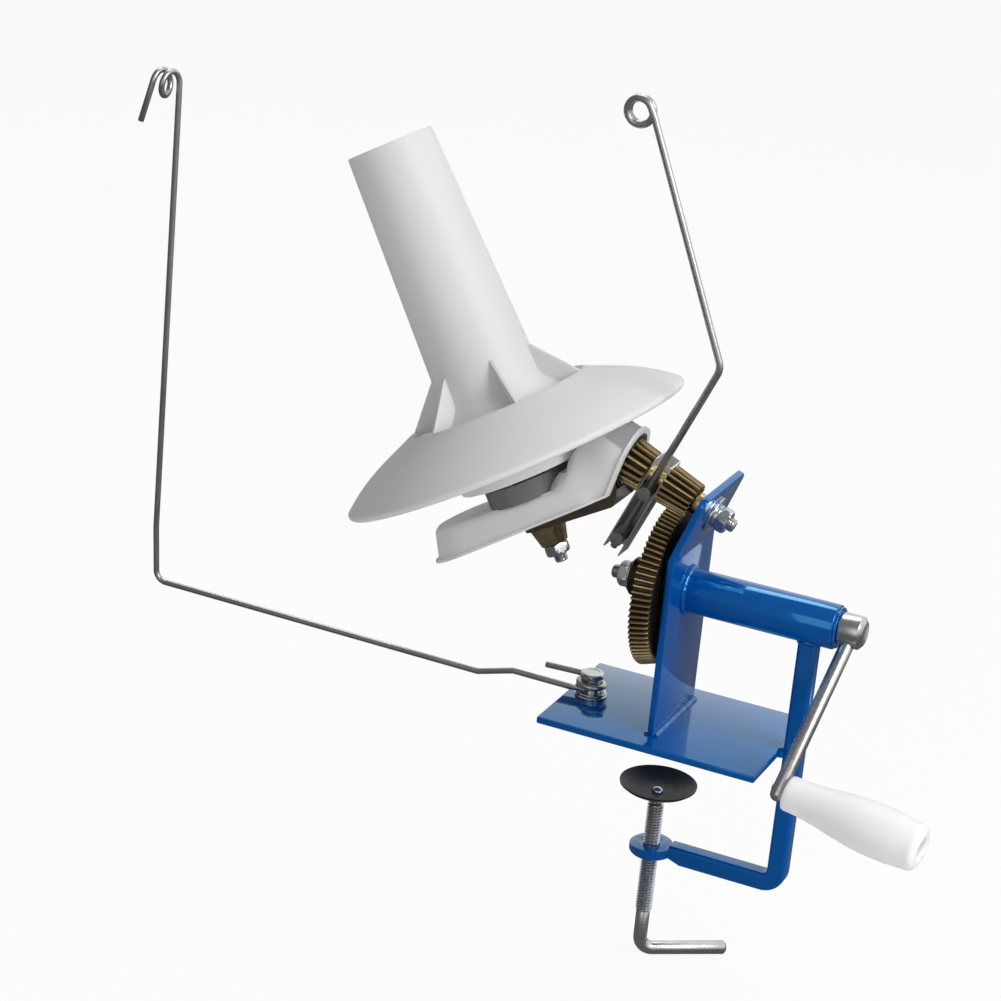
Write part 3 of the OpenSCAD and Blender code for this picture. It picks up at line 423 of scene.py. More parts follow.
# a screw thread from low to high, turned off to a blunt point at its top and, by lowCut, at its foot
def threaded(radius, low, high, pitch=1.25, chamfer=0.9, lowCut=0.0, steps=28):
    bm = bmesh.new()
    root, crest = radius - 0.55 * pitch, (0.42 * pitch, 0.58 * pitch)
    profile = []
    for i in range(int((high - low) / pitch) + 2):
        z = low + i * pitch
        profile += [(root, z), (radius, z + crest[0]), (radius, z + crest[1]), (root, z + pitch)]
    verts = [bm.verts.new((r, 0, z - pitch)) for k, (r, z) in enumerate(profile) if k % 4 or k == 0]
    edges = [bm.edges.new(pair) for pair in zip(verts, verts[1:])]
    bmesh.ops.spin(bm, geom=verts + edges, cent=(0, 0, 0), axis=(0, 0, 1), dvec=(0, 0, pitch / steps),
                   angle=2 * pi, steps=steps)
    bmesh.ops.remove_doubles(bm, verts=bm.verts, dist=0.01)
    for z, sign in ((low, -1), (high, 1)):
        bmesh.ops.bisect_plane(bm, geom=bm.verts[:] + bm.edges[:] + bm.faces[:], dist=0.0001,
                               plane_co=(0, 0, z), plane_no=(0, 0, sign), clear_outer=True)
        cut = [e for e in bm.edges if e.is_boundary and all(abs(v.co.z - z) < 0.001 for v in e.verts)]
        bmesh.ops.triangle_fill(bm, edges=cut, use_beauty=True)
    for vert in bm.verts:
        limit = radius - max(0.0, vert.co.z - high + chamfer, low + lowCut - vert.co.z)
        if vert.co.xy.length > limit:
            vert.co.xy = vert.co.xy * limit / vert.co.xy.length
    bmesh.ops.recalc_face_normals(bm, faces=bm.faces)
    return bm


# frame
plates = {"width": 62, "thick": 4, "foot": 4, "bend": 108.5, "head": 42.5, "tilt": 20.5, "corner": 6,
          "edge": 0.8, "bendInside": 2.5, "base": (130, 90, 4)}


def arc(a, b, c, radius, steps):
    return [(v.x, v.y, v.z) for v in corner(a, b, c, radius, steps)]


# the post's outline from the side, drawn out to its width, with its top corners and all its edges rounded
def postShell(q):
    t, up = q["thick"], (sin(radians(q["tilt"])), cos(radians(q["tilt"])))
    foot, footBack = (0, 0, q["foot"]), (-t, 0, q["foot"])
    outer = Vector((-t, 0, q["bend"]))
    top = outer + q["head"] * Vector((up[0], 0, up[1]))
    front = top + Vector((t * up[1], 0, -t * up[0]))
    inner = Vector((0, 0, q["bend"] - t * tan(radians(q["tilt"] / 2))))
    outline = [footBack, foot] + arc(foot, inner, front, q["bendInside"], 6)
    outline += [tuple(front), tuple(top)] + arc(top, outer, footBack, q["bendInside"] + t, 6)
    bm = drawnOut([(x, -q["width"] / 2, z) for x, y, z in outline], (0, q["width"], 0))
    tips = [e for e in bm.edges if all(v.co.z > top.z - 2 for v in e.verts)
            and abs(e.verts[0].co.y - e.verts[1].co.y) < 0.01]
    bmesh.ops.bevel(bm, geom=tips, offset=q["corner"], segments=10, profile=0.5, affect="EDGES",
                    clamp_overlap=True, material=-1)
    softEdges(bm, q["edge"], 3)
    return bm


def baseShell(q):
    bm = bmesh.new()
    bmesh.ops.create_cube(bm, size=1)
    bm.transform(Matrix.Translation((0, 0, q["base"][2] / 2)) @ Matrix.Diagonal((*q["base"], 1)))
    softEdges(bm, q["edge"], 3)
    return bm


addPiece("base_shell", baseShell(plates), Matrix(), "frame", "bluePaint", ("base_plate",))
addPiece("post_shell", postShell(plates), Matrix(), "frame", "bluePaint", ("post_plate",))
cadCopy("crank_tube", "tube_shell", "frame", "bluePaint", 0.8, 3)
eye = {"x": -4.5, "radius": 12.5, "low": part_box("clamp_bar")[0][2] * 1000, "thick": 8, "lift": 2.5,
       "tip": 1.4, "from": 8, "run": 7}


# hammers the bar's end thinner from below and draws its tip down to a blunt edge
def flattenEye(bm):
    stop, top = eye["from"] + eye["run"], eye["low"] + eye["thick"]
    for x in (eye["x"], eye["from"], stop):
        bmesh.ops.bisect_plane(bm, geom=bm.verts[:] + bm.edges[:] + bm.faces[:], dist=0.000001,
                               plane_co=(x / 1000, 0, 0), plane_no=(1, 0, 0))
    for vert in bm.verts:
        x, z = vert.co.x * 1000, vert.co.z * 1000
        if z < top + 0.1 and x < stop:
            share = min(1, (stop - x) / eye["run"])
            tip = eye["tip"] * max(0, (eye["x"] - x) / eye["radius"]) ** 2
            vert.co.z = (z + (eye["lift"] * share + tip if z < top - eye["thick"] / 2 else -tip)) / 1000


cadCopy("clamp_bar", "bar_shell", "frame", "bluePaint", 0.6, 2, 40, 32, flattenEye)


# a weld bead: a thick wire whose radius swells and shrinks along its ripples
def weld(name, points, radius, ripple=2.6):
    points = [Vector(point) for point in points]
    curve, places = roundCurve(name, points, radius, 5)
    run = 0.0
    for k, (place, at) in enumerate(zip(places, points)):
        run += (at - points[max(0, k - 1)]).length
        uneven = 0.05 * sin(run * 1.7 + 2) + 0.04 * sin(run * 0.53)
        place.radius = 1 + 0.07 * sin(2 * pi * run / ripple) + uneven
    meshFromCurve(name, curve, "frame", "bluePaint", (), 60)


# even points along a straight bead
def line(a, b, step=0.65):
    a, b = Vector(a), Vector(b)
    count = max(2, int((b - a).length / step))
    return [a + (b - a) * i / count for i in range(count + 1)]


def ring(radius, steps):
    return [(radius * sin(2 * pi * i / steps), radius * cos(2 * pi * i / steps)) for i in range(steps + 1)]


welds = {"tube": 12.5, "tubeX": 0.6, "tubeThroat": 1.7, "postHalf": 30.2, "postFront": 0.3,
         "postBack": -4.3, "postZ": 4.3, "frontThroat": 1.8, "backThroat": 1.6, "barX": 66, "barHalf": 5.3,
         "barSide": 5.1, "barLow": 0.6, "barTop": 4.2, "barThroat": 1.9, "sideThroat": 1.7, "saddleX": 72.4,
         "saddle": 5.6, "saddleThroat": 1.5, "sink": 0.2}


def allWelds(w):
    height, half, z = axes["crankHeight"], w["postHalf"], w["postZ"]
    weld("tube_weld", [(w["tubeX"], y, height + up) for y, up in ring(w["tube"], 130)], w["tubeThroat"])
    front, back, bar, top, end = w["postFront"], w["postBack"], w["barX"], w["barTop"], w["barHalf"]
    weld("post_foot_weld", line((front, -half, z), (front, half, z)), w["frontThroat"])
    weld("post_back_weld", line((back, half, z), (back, -half, z)), w["backThroat"])
    weld("bar_front_weld", line((bar, -end, top), (bar, end, top)), w["barThroat"])
    for name, y in (("bar_side_weld_front", -w["barSide"]), ("bar_side_weld_back", w["barSide"])):
        weld(name, line((bar, y, w["barLow"]), (bar, y, top)), w["sideThroat"])
    # where the bar meets the tube from below
    saddle = [(w["saddleX"] + along, y, height - (w["tube"] ** 2 - y * y) ** 0.5 - w["sink"])
              for along, y in ring(w["saddle"], 90)]
    weld("saddle_weld", saddle, w["saddleThroat"])


allWelds(welds)
print("frame done")

# cone
cone = {"tubeTop": 132, "topRadius": 25, "lowRadius": 29.5, "wall": 2.8, "rim": 53, "rimLevel": 23.6,
        "edge": 101.5, "edgeLevel": 50.5, "roll": 2.6, "bulge": 2.2, "cove": 17.5, "well": 10, "hub": 38,
        "hubLevel": 66, "bush": 6.5, "bushTop": -38, "ribs": 6, "ribThick": 2.3, "ribTop": 1.5,
        "ribTurn": 10.5}


def tubeRadius(c, level):
    return c["lowRadius"] - (c["lowRadius"] - c["topRadius"]) * level / c["tubeTop"]


# the flange's outer line from the rim to the edge, bulged a little, or the line under it
def skirt(c, under, steps=14):
    run = Vector((c["edge"] - c["roll"] * 0.6 - c["rim"], c["rimLevel"] - c["edgeLevel"] + c["roll"] * 0.6))
    out = c["bulge"] * Vector((-run.y, run.x)).normalized()
    points = []
    for i in range(1, steps):
        k = i / steps
        point = run * k + out * sin(pi * k ** 1.3)
        if point.x > 3 or not under:
            points.append((c["rim"] + point.x, point.y - c["rimLevel"] - (c["wall"] + 0.6 if under else 0)))
    return points


# the cone's wall as one closed section: hub, flange from below, rolled edge, flange from above, cove, tube
def coneProfile(c):
    w, top, floor, low = c["wall"], -c["rimLevel"], -c["rimLevel"] - c["well"], -c["hubLevel"]
    rim, edge, hub, side = c["rim"], c["edge"], c["hub"], -c["edgeLevel"]
    hubLine = [(c["bush"], low), (hub - 0.6, low), (hub, low + 0.6), (hub, floor - w),
               (rim - 0.5, floor - w), (rim + w * 0.6, top - w - 1)]
    r = c["roll"]
    lip = [(edge - 2 * r, side - r * 1.2)]
    lip += [(edge - r + r * sin(radians(a)), side - r * 0.4 - r * cos(radians(a)))
            for a in range(-10, 150, 16)]
    foot = tubeRadius(c, -c["cove"])
    rimLine = [(rim, top), (rim - 0.9, top + 0.1), (rim - 1.8, top - 0.4), (rim - 2.4, top - 1.4),
               (rim - 3.2, top - 4), (rim - 5, top - 4.6), (foot + 11, top - 3), (foot + 4, -c["cove"] - 3),
               (foot + 1.2, -c["cove"]), (foot, -c["cove"] + 2.5)]
    mouth, soft = c["tubeTop"], 0.4
    tube = [(tubeRadius(c, 0), 0), (tubeRadius(c, 60), 60), (c["topRadius"], mouth - soft),
            (c["topRadius"] - soft, mouth), (c["topRadius"] - w + soft, mouth),
            (c["topRadius"] - w, mouth - soft)]
    inside = [(tubeRadius(c, -40) - w, low + 5), (c["bush"] + 4, low + 5), (c["bush"] + 3.5, c["bushTop"]),
              (c["bush"], c["bushTop"])]
    return hubLine + skirt(c, True) + lip + skirt(c, False)[::-1] + rimLine + tube + inside


def coneShell(c):
    floor, inner = -c["rimLevel"] - c["well"], tubeRadius(c, c["ribTop"])
    outline = [(inner - 1, floor + 5), (c["rim"] - 2, -c["rimLevel"] - 2), (c["rim"] - 0.7, -c["rimLevel"]),
               (inner + 0.2, c["ribTop"]), (inner - 1, c["ribTop"] - 1)]
    bm = lathe(coneProfile(c), 192, True)
    for i in range(c["ribs"]):
        rib = drawnOut([(x, -c["ribThick"] / 2, z) for x, z in outline], (0, c["ribThick"], 0))
        softEdges(rib, 0.4, 2)
        rib.transform(Matrix.Rotation(radians(i * 360 / c["ribs"] + c["ribTurn"]), 4, "Z"))
        merge(bm, rib)
    return bm


addPiece("winding_cone", coneShell(cone), onSpindle(), "cone", "whitePlastic",
         ("yarn_cone", "winding_tube", "cone_hub", "cone_ribs"), 30)
cadCopy("gear_housing", "housing_shell", "frame", "whitePlastic", 0.0, 2, 40, 40)
# the collar on the housing, up to just under the cone's hub, coloured dark grey as painted shade: the white
# collar lies in the shadow of the cone's flange
sleeve = {"inner": 24.2, "outer": 26, "low": -79.2, "top": -68.2, "edge": 0.4}


def sleeveShell(c):
    low, top, edge = c["low"], c["top"], c["edge"]
    return lathe([(c["inner"], low), (c["outer"], low), (c["outer"], top - edge), (c["outer"] - edge, top),
                  (c["inner"] + edge, top), (c["inner"], top - edge)], 96, True)


addPiece("housing_sleeve", sleeveShell(sleeve), onSpindle(), "frame", "collarShade", (), 40)
print("cone and housing done")

# gears
driveGear = {"x": -17.3, "teeth": 81, "pitch": 46.088, "module": 1.138, "cone": 152.51, "half": 16.8143}


def taper(z):
    return 1 - z / driveGear["cone"]


# hub, web, toothed rim and bore, from the hub's end round to it again
driveRows = [("r", 5.05, -16), ("r", 10.4, -16), ("r", 11, -15.4), ("r", 11, 0), ("r", 13.7, 0),
             ("r", 14, 0.3), ("r", 14.2, 3), ("r", 39.7, 3), ("r", 40, 0.3), ("r", 40.3, 0), ("r", 43.6, 0),
             ("t", 0.985, 0.02), ("t", taper(0.4), 0.4), ("t", taper(5), 5), ("t", taper(10.1), 10.1),
             ("t", taper(10.5) * 0.99, 10.48), ("r", 39, 10.5), ("r", 5.05, 10.5), ("r", 5.05, -16)]
driveWheel = toothed(driveGear["teeth"], driveGear["pitch"], driveGear["module"], driveRows,
                     180 + 180 / driveGear["teeth"])
addPiece("drive_wheel", driveWheel, onCrank(driveGear["x"]), "crank", "gearBronze",
         ("drive_gear", "gear_hub"), 25)

# levels are along the main axis; each pinion tapers towards the apex below it
pinions = {"half": 3.68566, "apex": 139.502, "teeth": 18, "bore": 4.98, "swell": 1.25, "lower": (8, 27.2),
           "upper": (38, 51.4)}


def pinionPiece(name, node, low, high):
    q = pinions
    pitch = (q["apex"] + low) * tan(radians(q["half"]))
    grow = (q["apex"] + high) / (q["apex"] + low)
    slant = driveGear["cone"] / cos(radians(driveGear["half"])) * cos(radians(q["half"]))
    module = driveGear["module"] * (q["apex"] + low) / slant
    length, root = high - low, pitch - 2 * module
    rows = [("r", q["bore"], 0), ("r", root, 0), ("t", 0.975, 0.02),
            ("t", 1 + (grow - 1) * 0.4 / length, 0.4), ("t", 1 + (grow - 1) * 0.5, length / 2),
            ("t", grow, length - 0.4), ("t", grow * 0.975, length - 0.02), ("r", root, length),
            ("r", q["bore"], length), ("r", q["bore"], 0)]
    wheel = toothed(q["teeth"], pitch, module, rows, 180, q["swell"])
    addPiece(name, wheel, onMain(low), "flyer", "gearBronze", (node,), 25)


pinionPiece("lower_pinion_teeth", "lower_pinion", *pinions["lower"])
pinionPiece("upper_pinion_teeth", "upper_pinion", *pinions["upper"])
for node, body in (("bevel_pinion", "flyer"), ("idler_gear", "idler"), ("spindle_gear", "cone")):
    cadCopy(node, node + "_teeth", body, "gearBronze", 0.0, 2, 30, 25)
print("gears done")

# flyer
flyer = {"channelV": 32.6, "lean": 3, "wireY": 7.01, "low": 47.5, "bend": 78, "bendRadius": 10,
         "eye": (175.5, 133.5), "eyeRadius": 7.25, "eyeBack": 6, "eyeTurn": (6, 618), "rise": 4.4, "wire": 4}
channel = {"low": 50.5, "high": 12.5, "width": 10.8, "thick": 0.9, "front": 7, "back": 8.2, "bend": 1.6}


# the bent sheet's section, drawn out along the channel
def channelShell(c):
    half, bend = c["width"] / 2 - c["bend"], c["back"] - c["bend"]

    # one wall from its free edge to the back, at radius r round its bend
    def wall(side, r):
        return [(-c["front"], side * (half + r))] + [
            (bend + r * sin(radians(a)), side * (half + r * cos(radians(a)))) for a in range(0, 91, 15)]

    outer, inner = c["bend"], c["bend"] - c["thick"]
    section = wall(-1, outer) + wall(1, outer)[::-1] + wall(1, inner) + wall(-1, inner)[::-1]
    bm = drawnOut([(-c["low"], y, z) for y, z in section], (c["low"] + c["high"], 0, 0))
    softEdges(bm, 0.2, 2)
    return bm


channelPlace = onMain(flyer["channelV"]) @ turnY(flyer["lean"])
addPiece("channel_shell", channelShell(channel), channelPlace, "flyer", "channelZinc",
         ("flyer_channel",))


# from the channel's lower end out to the knee, up to the eye and one and a half turns round it
def flyerPath(f):
    lean = Vector((cos(radians(f["lean"])), 0, -sin(radians(f["lean"]))))
    mid = Vector((0, -f["wireY"], f["channelV"]))
    low, knee = mid - f["low"] * lean, mid + f["bend"] * lean
    eye = Vector((f["eye"][0], 0, f["eye"][1]))
    run = Vector((eye.x - knee.x, 0, eye.z - knee.z)).normalized()
    right = Vector((run.z, 0, -run.x))
    meet = eye + f["eyeRadius"] * right - f["eyeBack"] * run + Vector((0, -f["wire"] / 2, 0))
    return ([low] + corner(mid, knee, meet, f["bendRadius"], 16) + [meet]
            + coil(eye, right, run, (0, 1, 0), f["eyeRadius"], *f["eyeTurn"], f["rise"], 110))


wire("flyer_rod", flyerPath(flyer), flyer["wire"] / 2, "flyer", "wireSteel", ("flyer_wire",),
     onMain())
for node in ("upper_clip", "lower_clip"):
    cadCopy(node, node + "_head", "flyer", "clipSteel", 0.3, 2)
cadCopy("pinion_sleeve", "sleeve_shell", "flyer", "brassBush")
print("flyer done")

# yarn guide
guide = {"pivot": 51.5, "wire": 3.5, "coil": 7.2, "coilZ": 9.15, "coilTurn": (90, -450), "gap": 0.2,
         "tail": 31, "tailIn": 2.5, "level": 46, "drop": 68, "lowZ": 3, "upright": 338, "top": 311,
         "lean": 1.5, "hook": 7.1, "hookX": 4.5, "hookTurn": (0, 530), "hookRise": 9, "tip": (-9.5, -3, -22)}


# from the tail round the pivot, out and down to the upright, up it and round the hook
def guidePath(q):
    y, x, z, d = -q["coil"], -q["pivot"], q["coilZ"], q["wire"] + q["gap"]
    tail = Vector((x, q["coil"], z + d))
    hook = Vector((-q["upright"] + q["lean"] - q["hookX"], y - q["hook"], q["top"]))
    points = [tail + Vector((-q["tail"], -q["tailIn"], q["gap"])), tail + Vector((-7, -0.2, 0))]
    points += coil((x, 0, z + d / 2), (-1, 0, 0), (0, 1, 0), (0, 0, -1), q["coil"], *q["coilTurn"], d, 96)
    a, b, c = (x - 10, y, z), (x - q["level"], y, z + 0.2), (x - q["drop"], y, q["lowZ"])
    e, f = (-q["upright"] + 2, y, 5), (-q["upright"], y, 60)
    points += [Vector(a)] + corner(a, b, c, 8, 8) + corner(b, c, e, 8, 8) + corner(c, e, f, 7, 12)
    points += [Vector((-q["upright"] + q["lean"] * i / 24, y, q["top"] * i / 24)) for i in range(3, 24)]
    points += coil(hook, (0, 1, 0), (0, 0, 1), (-1, 0, 0), q["hook"], *q["hookTurn"], q["hookRise"], 96)
    return points + [hook + Vector((0, -q["hook"], 0)) + Vector(q["tip"])]


wire("guide_rod", guidePath(guide), guide["wire"] / 2, "guide", "wireSteel", ("yarn_guide",))

# bolts and nuts
flipZ = Matrix.Rotation(pi, 4, "X")
nutSize = {"flats": 13, "height": 6.5, "bore": 4.02}
nuts = [("head_nut", "frame", onMain(-14.3), 12), ("crank_nut", "crank", onCrank(-41.4), 8),
        ("spindle_foot_nut", "frame", onSpindle(-116.549), 20),
        ("spindle_top_nut", "frame", onSpindle(-36.2), 0)]
for node, body, matrix, turn in nuts:
    nut = hexNut(nutSize["flats"], nutSize["height"], nutSize["bore"], turn)
    addPiece(node + "_hex", nut, matrix, body, "zincPlate", (node,), 30)


# a shaft of stepped radii, its ends turned off by half a millimetre
def shaft(steps):
    (r0, z0), (r1, z1) = steps[0], steps[-1]
    low, high = [(0, z0), (r0 - 0.5, z0), (r0, z0 + 0.5)], [(r1, z1 - 0.5), (r1 - 0.5, z1), (0, z1)]
    return lathe(low + steps[1:-1] + high, 48)


# node, body, axis, (radius, level) steps, and for each thread its tip, its root and the way it points
shafts = [
    ("main_shaft", "frame", onMain(), [(3.9, -12.8), (3.9, -4), (4, -4), (4, 70.8)], [(-18, -12.5, -1)]),
    ("crank_shaft", "crank", onCrank(),
     [(3.9, -39.5), (3.9, -33), (5, -33), (5, 99.8)], [(-45.9, -39, -1)]),
    ("spindle_shaft", "frame", onSpindle(),
     [(3.9, -114), (3.9, -110), (4, -109), (4, -38), (3.9, -38), (3.9, -31)],
     [(-121.05, -113.5, -1), (-27.5, -31.5, 1)]),
]
for node, body, matrix, steps, threads in shafts:
    addPiece(node + "_turned", shaft(steps), matrix, body, "zincPlate", (node,), 40)
    for k, (tip, root, way) in enumerate(threads):
        end = matrix @ Matrix.Translation((0, 0, root)) @ (flipZ if way < 0 else Matrix())
        thread = threaded(3.98, 0, abs(tip - root))
        addPiece(node + "_thread" + str(k), thread, end, body, "zincPlate")
for node in ("head_washer", "spring_washer", "thrust_washer", "gear_washer", "housing_screw", "idler_pin"):
    cadCopy(node, node + "_zinc", "frame", "zincPlate", 0.25, 2)

# the guide's pivot: a hex bolt with a turned top, its shoulder in the coil, and two washers under it
pivot = {"x": -51.5, "shank": 4, "shoulder": 5.2, "stack": 7.1, "headLow": 15, "headHigh": 18.3,
         "flats": 13, "turn": 15, "crown": 4.6, "crownIn": 4.2, "crownDip": 0.25,
         "lowWasher": (9.3, 4, 5.5), "topWasher": (8.8, 5.6, 7.1)}


def pivotBolt(q):
    low, high, dip = q["headLow"], q["headHigh"], q["headHigh"] - q["crownDip"]
    shank, shoulder, stack = q["shank"], q["shoulder"], q["stack"]
    stem = [(0, 0), (shank, 0), (shank, stack), (shoulder, stack), (shoulder, low)]
    rim = [(r, low + z) for r, z in hexRim(q["flats"], high - low)]
    crown = [(q["crown"], high), (q["crownIn"], dip), (0, dip)]
    return sixFlats(lathe(stem + rim + crown, 72), q["flats"], q["turn"])


def washer(outer, low, high):
    inner, edge = pivot["shank"], 0.4
    return lathe([(inner, low), (outer - edge, low), (outer, low + edge), (outer, high - edge),
                  (outer - edge, high), (inner, high)], 72, True)


place = Matrix.Translation((pivot["x"], 0, 0))
addPiece("pivot_bolt_hex", pivotBolt(pivot), place, "frame", "zincPlate", ("pivot_bolt",), 30)
addPiece("pivot_washer_low", washer(*pivot["lowWasher"]), place, "frame", "zincPlate",
         ("pivot_washer",), 40)
addPiece("pivot_washer_top", washer(*pivot["topWasher"]), place, "frame", "zincPlate", (), 40)
cadCopy("crank_washer", "crank_washer_zinc", "crank", "zincPlate", 0.25, 2)
for node in ("tube_bush_left", "shaft_collar"):
    cadCopy(node, node + "_brass", "frame", "brassBush", 0.25, 2)
cadCopy("tube_bush_right", "tube_end_bush", "frame", "bluePaint", 0.4, 2)
cadCopy("cone_bush", "cone_bush_brass", "cone", "brassBush", 0.2, 2)
cadCopy("spindle_arm", "arm_casting", "frame", "brownPaint", 0.5, 2)
# bare metal on the turned boss of the arm
boss = [(7.3, -110), (7.5, -110.04), (7.8, -109.7), (10.68, -98.7), (10.3, -98.6)]
addPiece("boss_skin", lathe(boss, 64, True), onSpindle(), "frame", "bossGold")

# crank and grip
for node in ("crank_hub", "crank_arm", "grip_pin"):
    cadCopy(node, node + "_steel", "crank", "crankSteel", 0.3, 2)
cadCopy("hand_grip", "grip_moulding", "grip", "gripPlastic", 0.0, 2, 30, 50)

# clamp
cadCopy("clamp_pad", "pad_dish", "pad", "padSteel", 0.0, 2, 30, 40)
clamp = {"x": -4.5, "low": -145.5, "elbow": 8, "handle": 52, "turn": 34, "rod": 4, "rodCut": 1.5,
         "thread": 4.79, "threadLength": 70, "pitch": 1.75, "chamfer": 1.2, "footCut": 0.8, "top": -50.1,
         "neck": 3, "neckTop": -45.1, "rivet": 2.2, "rivetRise": 1.7, "head": 3.4, "headRise": 2.38}


def clampScrew(c):
    foot, head = c["top"] - c["threadLength"], c["neckTop"] + c["rivetRise"]
    place, footPlace = Matrix.Translation((c["x"], 0, 0)), Matrix.Translation((c["x"], 0, foot))
    thread = threaded(c["thread"], 0, c["threadLength"], c["pitch"], c["chamfer"], c["footCut"])
    addPiece("screw_thread", thread, footPlace, "screw", "zincPlate", ("clamp_screw",))
    # the neck through the pad, and the head peened over it
    neck = [(0, c["top"] - 1), (c["neck"], c["top"] - 1), (c["neck"], c["neckTop"]),
            (c["rivet"], c["neckTop"]), (c["rivet"], head)]
    dome = [(c["head"] * cos(radians(a)), head + c["headRise"] * sin(radians(a))) for a in range(0, 90, 10)]
    neckPiece = lathe(neck + dome + [(0, head + c["headRise"])], 48)
    addPiece("screw_neck", neckPiece, place, "screw", "zincPlate", (), 40)
    way = Vector((cos(radians(c["turn"])), sin(radians(c["turn"])), 0))
    top, low = Vector((0, 0, foot + 2)), Vector((0, 0, c["low"]))
    end = low + c["handle"] * way
    path = [top] + corner(top, low, end, c["elbow"], 20) + [end]
    wire("screw_handle", path, c["rod"], "screw", "zincPlate", (), place, c["rodCut"])


clampScrew(clamp)
print("small pieces done")


# stage, light, camera
def link(name, data):
    holder = bpy.data.objects.new(name, data)
    bpy.context.scene.collection.objects.link(holder)
    return holder


# a flat square of the stage, and its material's nodes
def sheet(name, material, size, matrix):
    bm = bmesh.new()
    bmesh.ops.create_grid(bm, x_segments=1, y_segments=1, size=size)
    bm.transform(matrix)
    mesh = bpy.data.meshes.new(name)
    bm.to_mesh(mesh)
    bm.free()
    mat = bpy.data.materials.new(material)
    mat.use_nodes = True
    mesh.materials.append(mat)
    return link(name, mesh), mat.node_tree.nodes, mat.node_tree.links


def emission(nodes, shade):
    glow = nodes.new("ShaderNodeEmission")
    glow.inputs["Color"].default_value = (shade, shade, shade, 1)
    glow.inputs["Strength"].default_value = 1.0
    return glow.outputs[0]


# turns the -Z side of a lamp or card from at towards target
def aimed(at, target):
    return (Vector(target) - Vector(at)).to_track_quat("-Z", "Y")


# 1 for camera, glossy and transmission rays
def seenRays(nodes, links):
    path = nodes.new("ShaderNodeLightPath")
    total = path.outputs["Is Camera Ray"]
    for name in ("Is Glossy Ray", "Is Transmission Ray"):
        most = nodes.new("ShaderNodeMath")
        most.operation = "MAXIMUM"
        links.new(total, most.inputs[0])
        links.new(path.outputs[name], most.inputs[1])
        total = most.outputs[0]
    return total


floorLook = {"height": -0.1525, "half": 4, "colour": (0.93, 0.93, 0.93, 1), "roughness": 0.9, "glow": 0.92}


# plain white to the camera and to reflections, apart from a share that still takes the object's soft shadow
def stage(q):
    floor, nodes, links = sheet("floor", "paleFloor", q["half"], Matrix.Translation((0, 0, q["height"])))
    shader = nodes["Principled BSDF"]
    shader.inputs["Base Color"].default_value = q["colour"]
    shader.inputs["Roughness"].default_value = q["roughness"]
    share = nodes.new("ShaderNodeMath")
    share.operation = "MULTIPLY"
    share.inputs[1].default_value = q["glow"]
    links.new(seenRays(nodes, links), share.inputs[0])
    mix = nodes.new("ShaderNodeMixShader")
    links.new(share.outputs[0], mix.inputs["Fac"])
    links.new(shader.outputs[0], mix.inputs[1])
    links.new(emission(nodes, 1), mix.inputs[2])
    links.new(mix.outputs[0], nodes["Material Output"].inputs["Surface"])


# a studio card, which only reflections see
def card(name, at, target, size, shade):
    turn = aimed(at, target).to_matrix().to_4x4()
    matrix = Matrix.Translation(at) @ turn @ Matrix.Diagonal((*size, 1, 1))
    panel, nodes, links = sheet(name, name + "Cloth", 0.5, matrix)
    nodes.remove(nodes["Principled BSDF"])
    links.new(emission(nodes, shade), nodes["Material Output"].inputs["Surface"])
    for ray in ("camera", "diffuse", "transmission", "volume_scatter", "shadow"):
        setattr(panel, "visible_" + ray, False)


def lamp(name, at, target, size, power):
    light = bpy.data.lights.new(name, "AREA")
    light.shape = "RECTANGLE"
    light.size, light.size_y = size
    light.energy = power
    holder = link(name, light)
    holder.location = at
    holder.rotation_euler = aimed(at, target).to_euler()


# white to the camera and to reflections, dimmer as a light
def world(strength):
    sky = bpy.data.worlds.new("studio")
    bpy.context.scene.world = sky
    sky.use_nodes = True
    nodes, links = sky.node_tree.nodes, sky.node_tree.links
    plain, seen = nodes["Background"], nodes.new("ShaderNodeBackground")
    for shader, power in ((plain, strength), (seen, 1.0)):
        shader.inputs["Color"].default_value = (1, 1, 1, 1)
        shader.inputs["Strength"].default_value = power
    mix = nodes.new("ShaderNodeMixShader")
    links.new(seenRays(nodes, links), mix.inputs["Fac"])
    links.new(plain.outputs[0], mix.inputs[1])
    links.new(seen.outputs[0], mix.inputs[2])
    links.new(mix.outputs[0], nodes["World Output"].inputs["Surface"])


view = {"at": (0.4693, -1.3731, 0.6724), "azimuth": 23.17, "elevation": 20.74, "roll": 5.39, "lens": 101.43,
        "sensor": 36, "reach": 20}


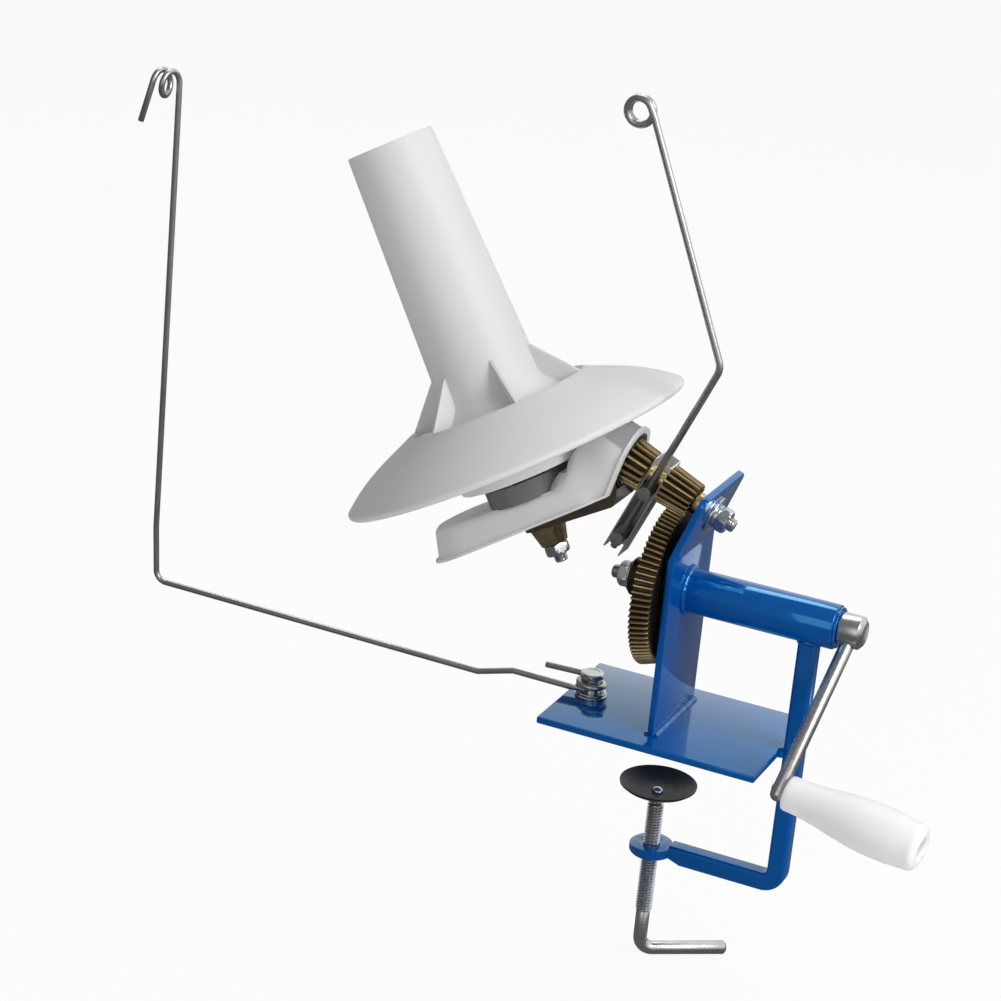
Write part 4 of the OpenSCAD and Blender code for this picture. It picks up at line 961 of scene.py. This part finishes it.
def camera(v):
    az, el, roll = (radians(v[key]) for key in ("azimuth", "elevation", "roll"))
    right = Vector((cos(az), sin(az), 0))
    back = Vector((sin(az) * cos(el), -cos(az) * cos(el), sin(el)))
    up = back.cross(right)
    x, y = cos(roll) * right + sin(roll) * up, cos(roll) * up - sin(roll) * right
    data = bpy.data.cameras.new("camera")
    data.lens = v["lens"]
    data.sensor_width = v["sensor"]
    data.clip_end = v["reach"]
    holder = link("camera", data)
    holder.matrix_world = Matrix.Translation(v["at"]) @ Matrix((x, y, back)).transposed().to_4x4()
    bpy.context.scene.camera = holder


stage(floorLook)
world(0.27)
lampTarget = (-0.05, 0, 0.1)
lamps = {
    "key": {"at": (1.8, -0.5, 1.6), "size": (1.2, 1.2), "power": 39},
    "fill": {"at": (0.3, -2.4, 1.0), "size": (1.2, 1.6), "power": 6.5},
    "back": {"at": (-0.7, 1.1, 2.4), "size": (1.4, 1.0), "power": 15},
}
for name, q in lamps.items():
    lamp(name, q["at"], lampTarget, q["size"], q["power"])
# the dark cards keep the paint and metals deep; the pale patch is the bright spot in the post's face
cards = {
    "floorCard": {"at": (0, 0, -0.1518), "target": (0, 0, 1), "size": (7.6, 7.6), "shade": 0.13},
    "patchCard": {"at": (0.21, 0.57, -0.151), "target": (0.21, 0.57, 1), "size": (0.16, 0.14), "shade": 0.9},
    "frontCard": {"at": (0, -2.8, 1.2), "target": (0, 0, 0.8), "size": (5.0, 3.0), "shade": 0.24},
    "topCard": {"at": (0, -0.9, 2.7), "target": (0, -0.9, 0), "size": (5.0, 3.8), "shade": 0.2},
    "leftCard": {"at": (-2.3, -0.7, 1.2), "target": (0, -0.7, 1.2), "size": (4.2, 3.0), "shade": 0.13},
    "rightCard": {"at": (2.5, -0.7, 1.2), "target": (0, -0.7, 1.2), "size": (4.2, 3.0), "shade": 0.75},
}
for name, q in cards.items():
    card(name, q["at"], q["target"], q["size"], q["shade"])
camera(view)
bpy.context.scene.view_settings.view_transform = "Standard"
print("stage done")
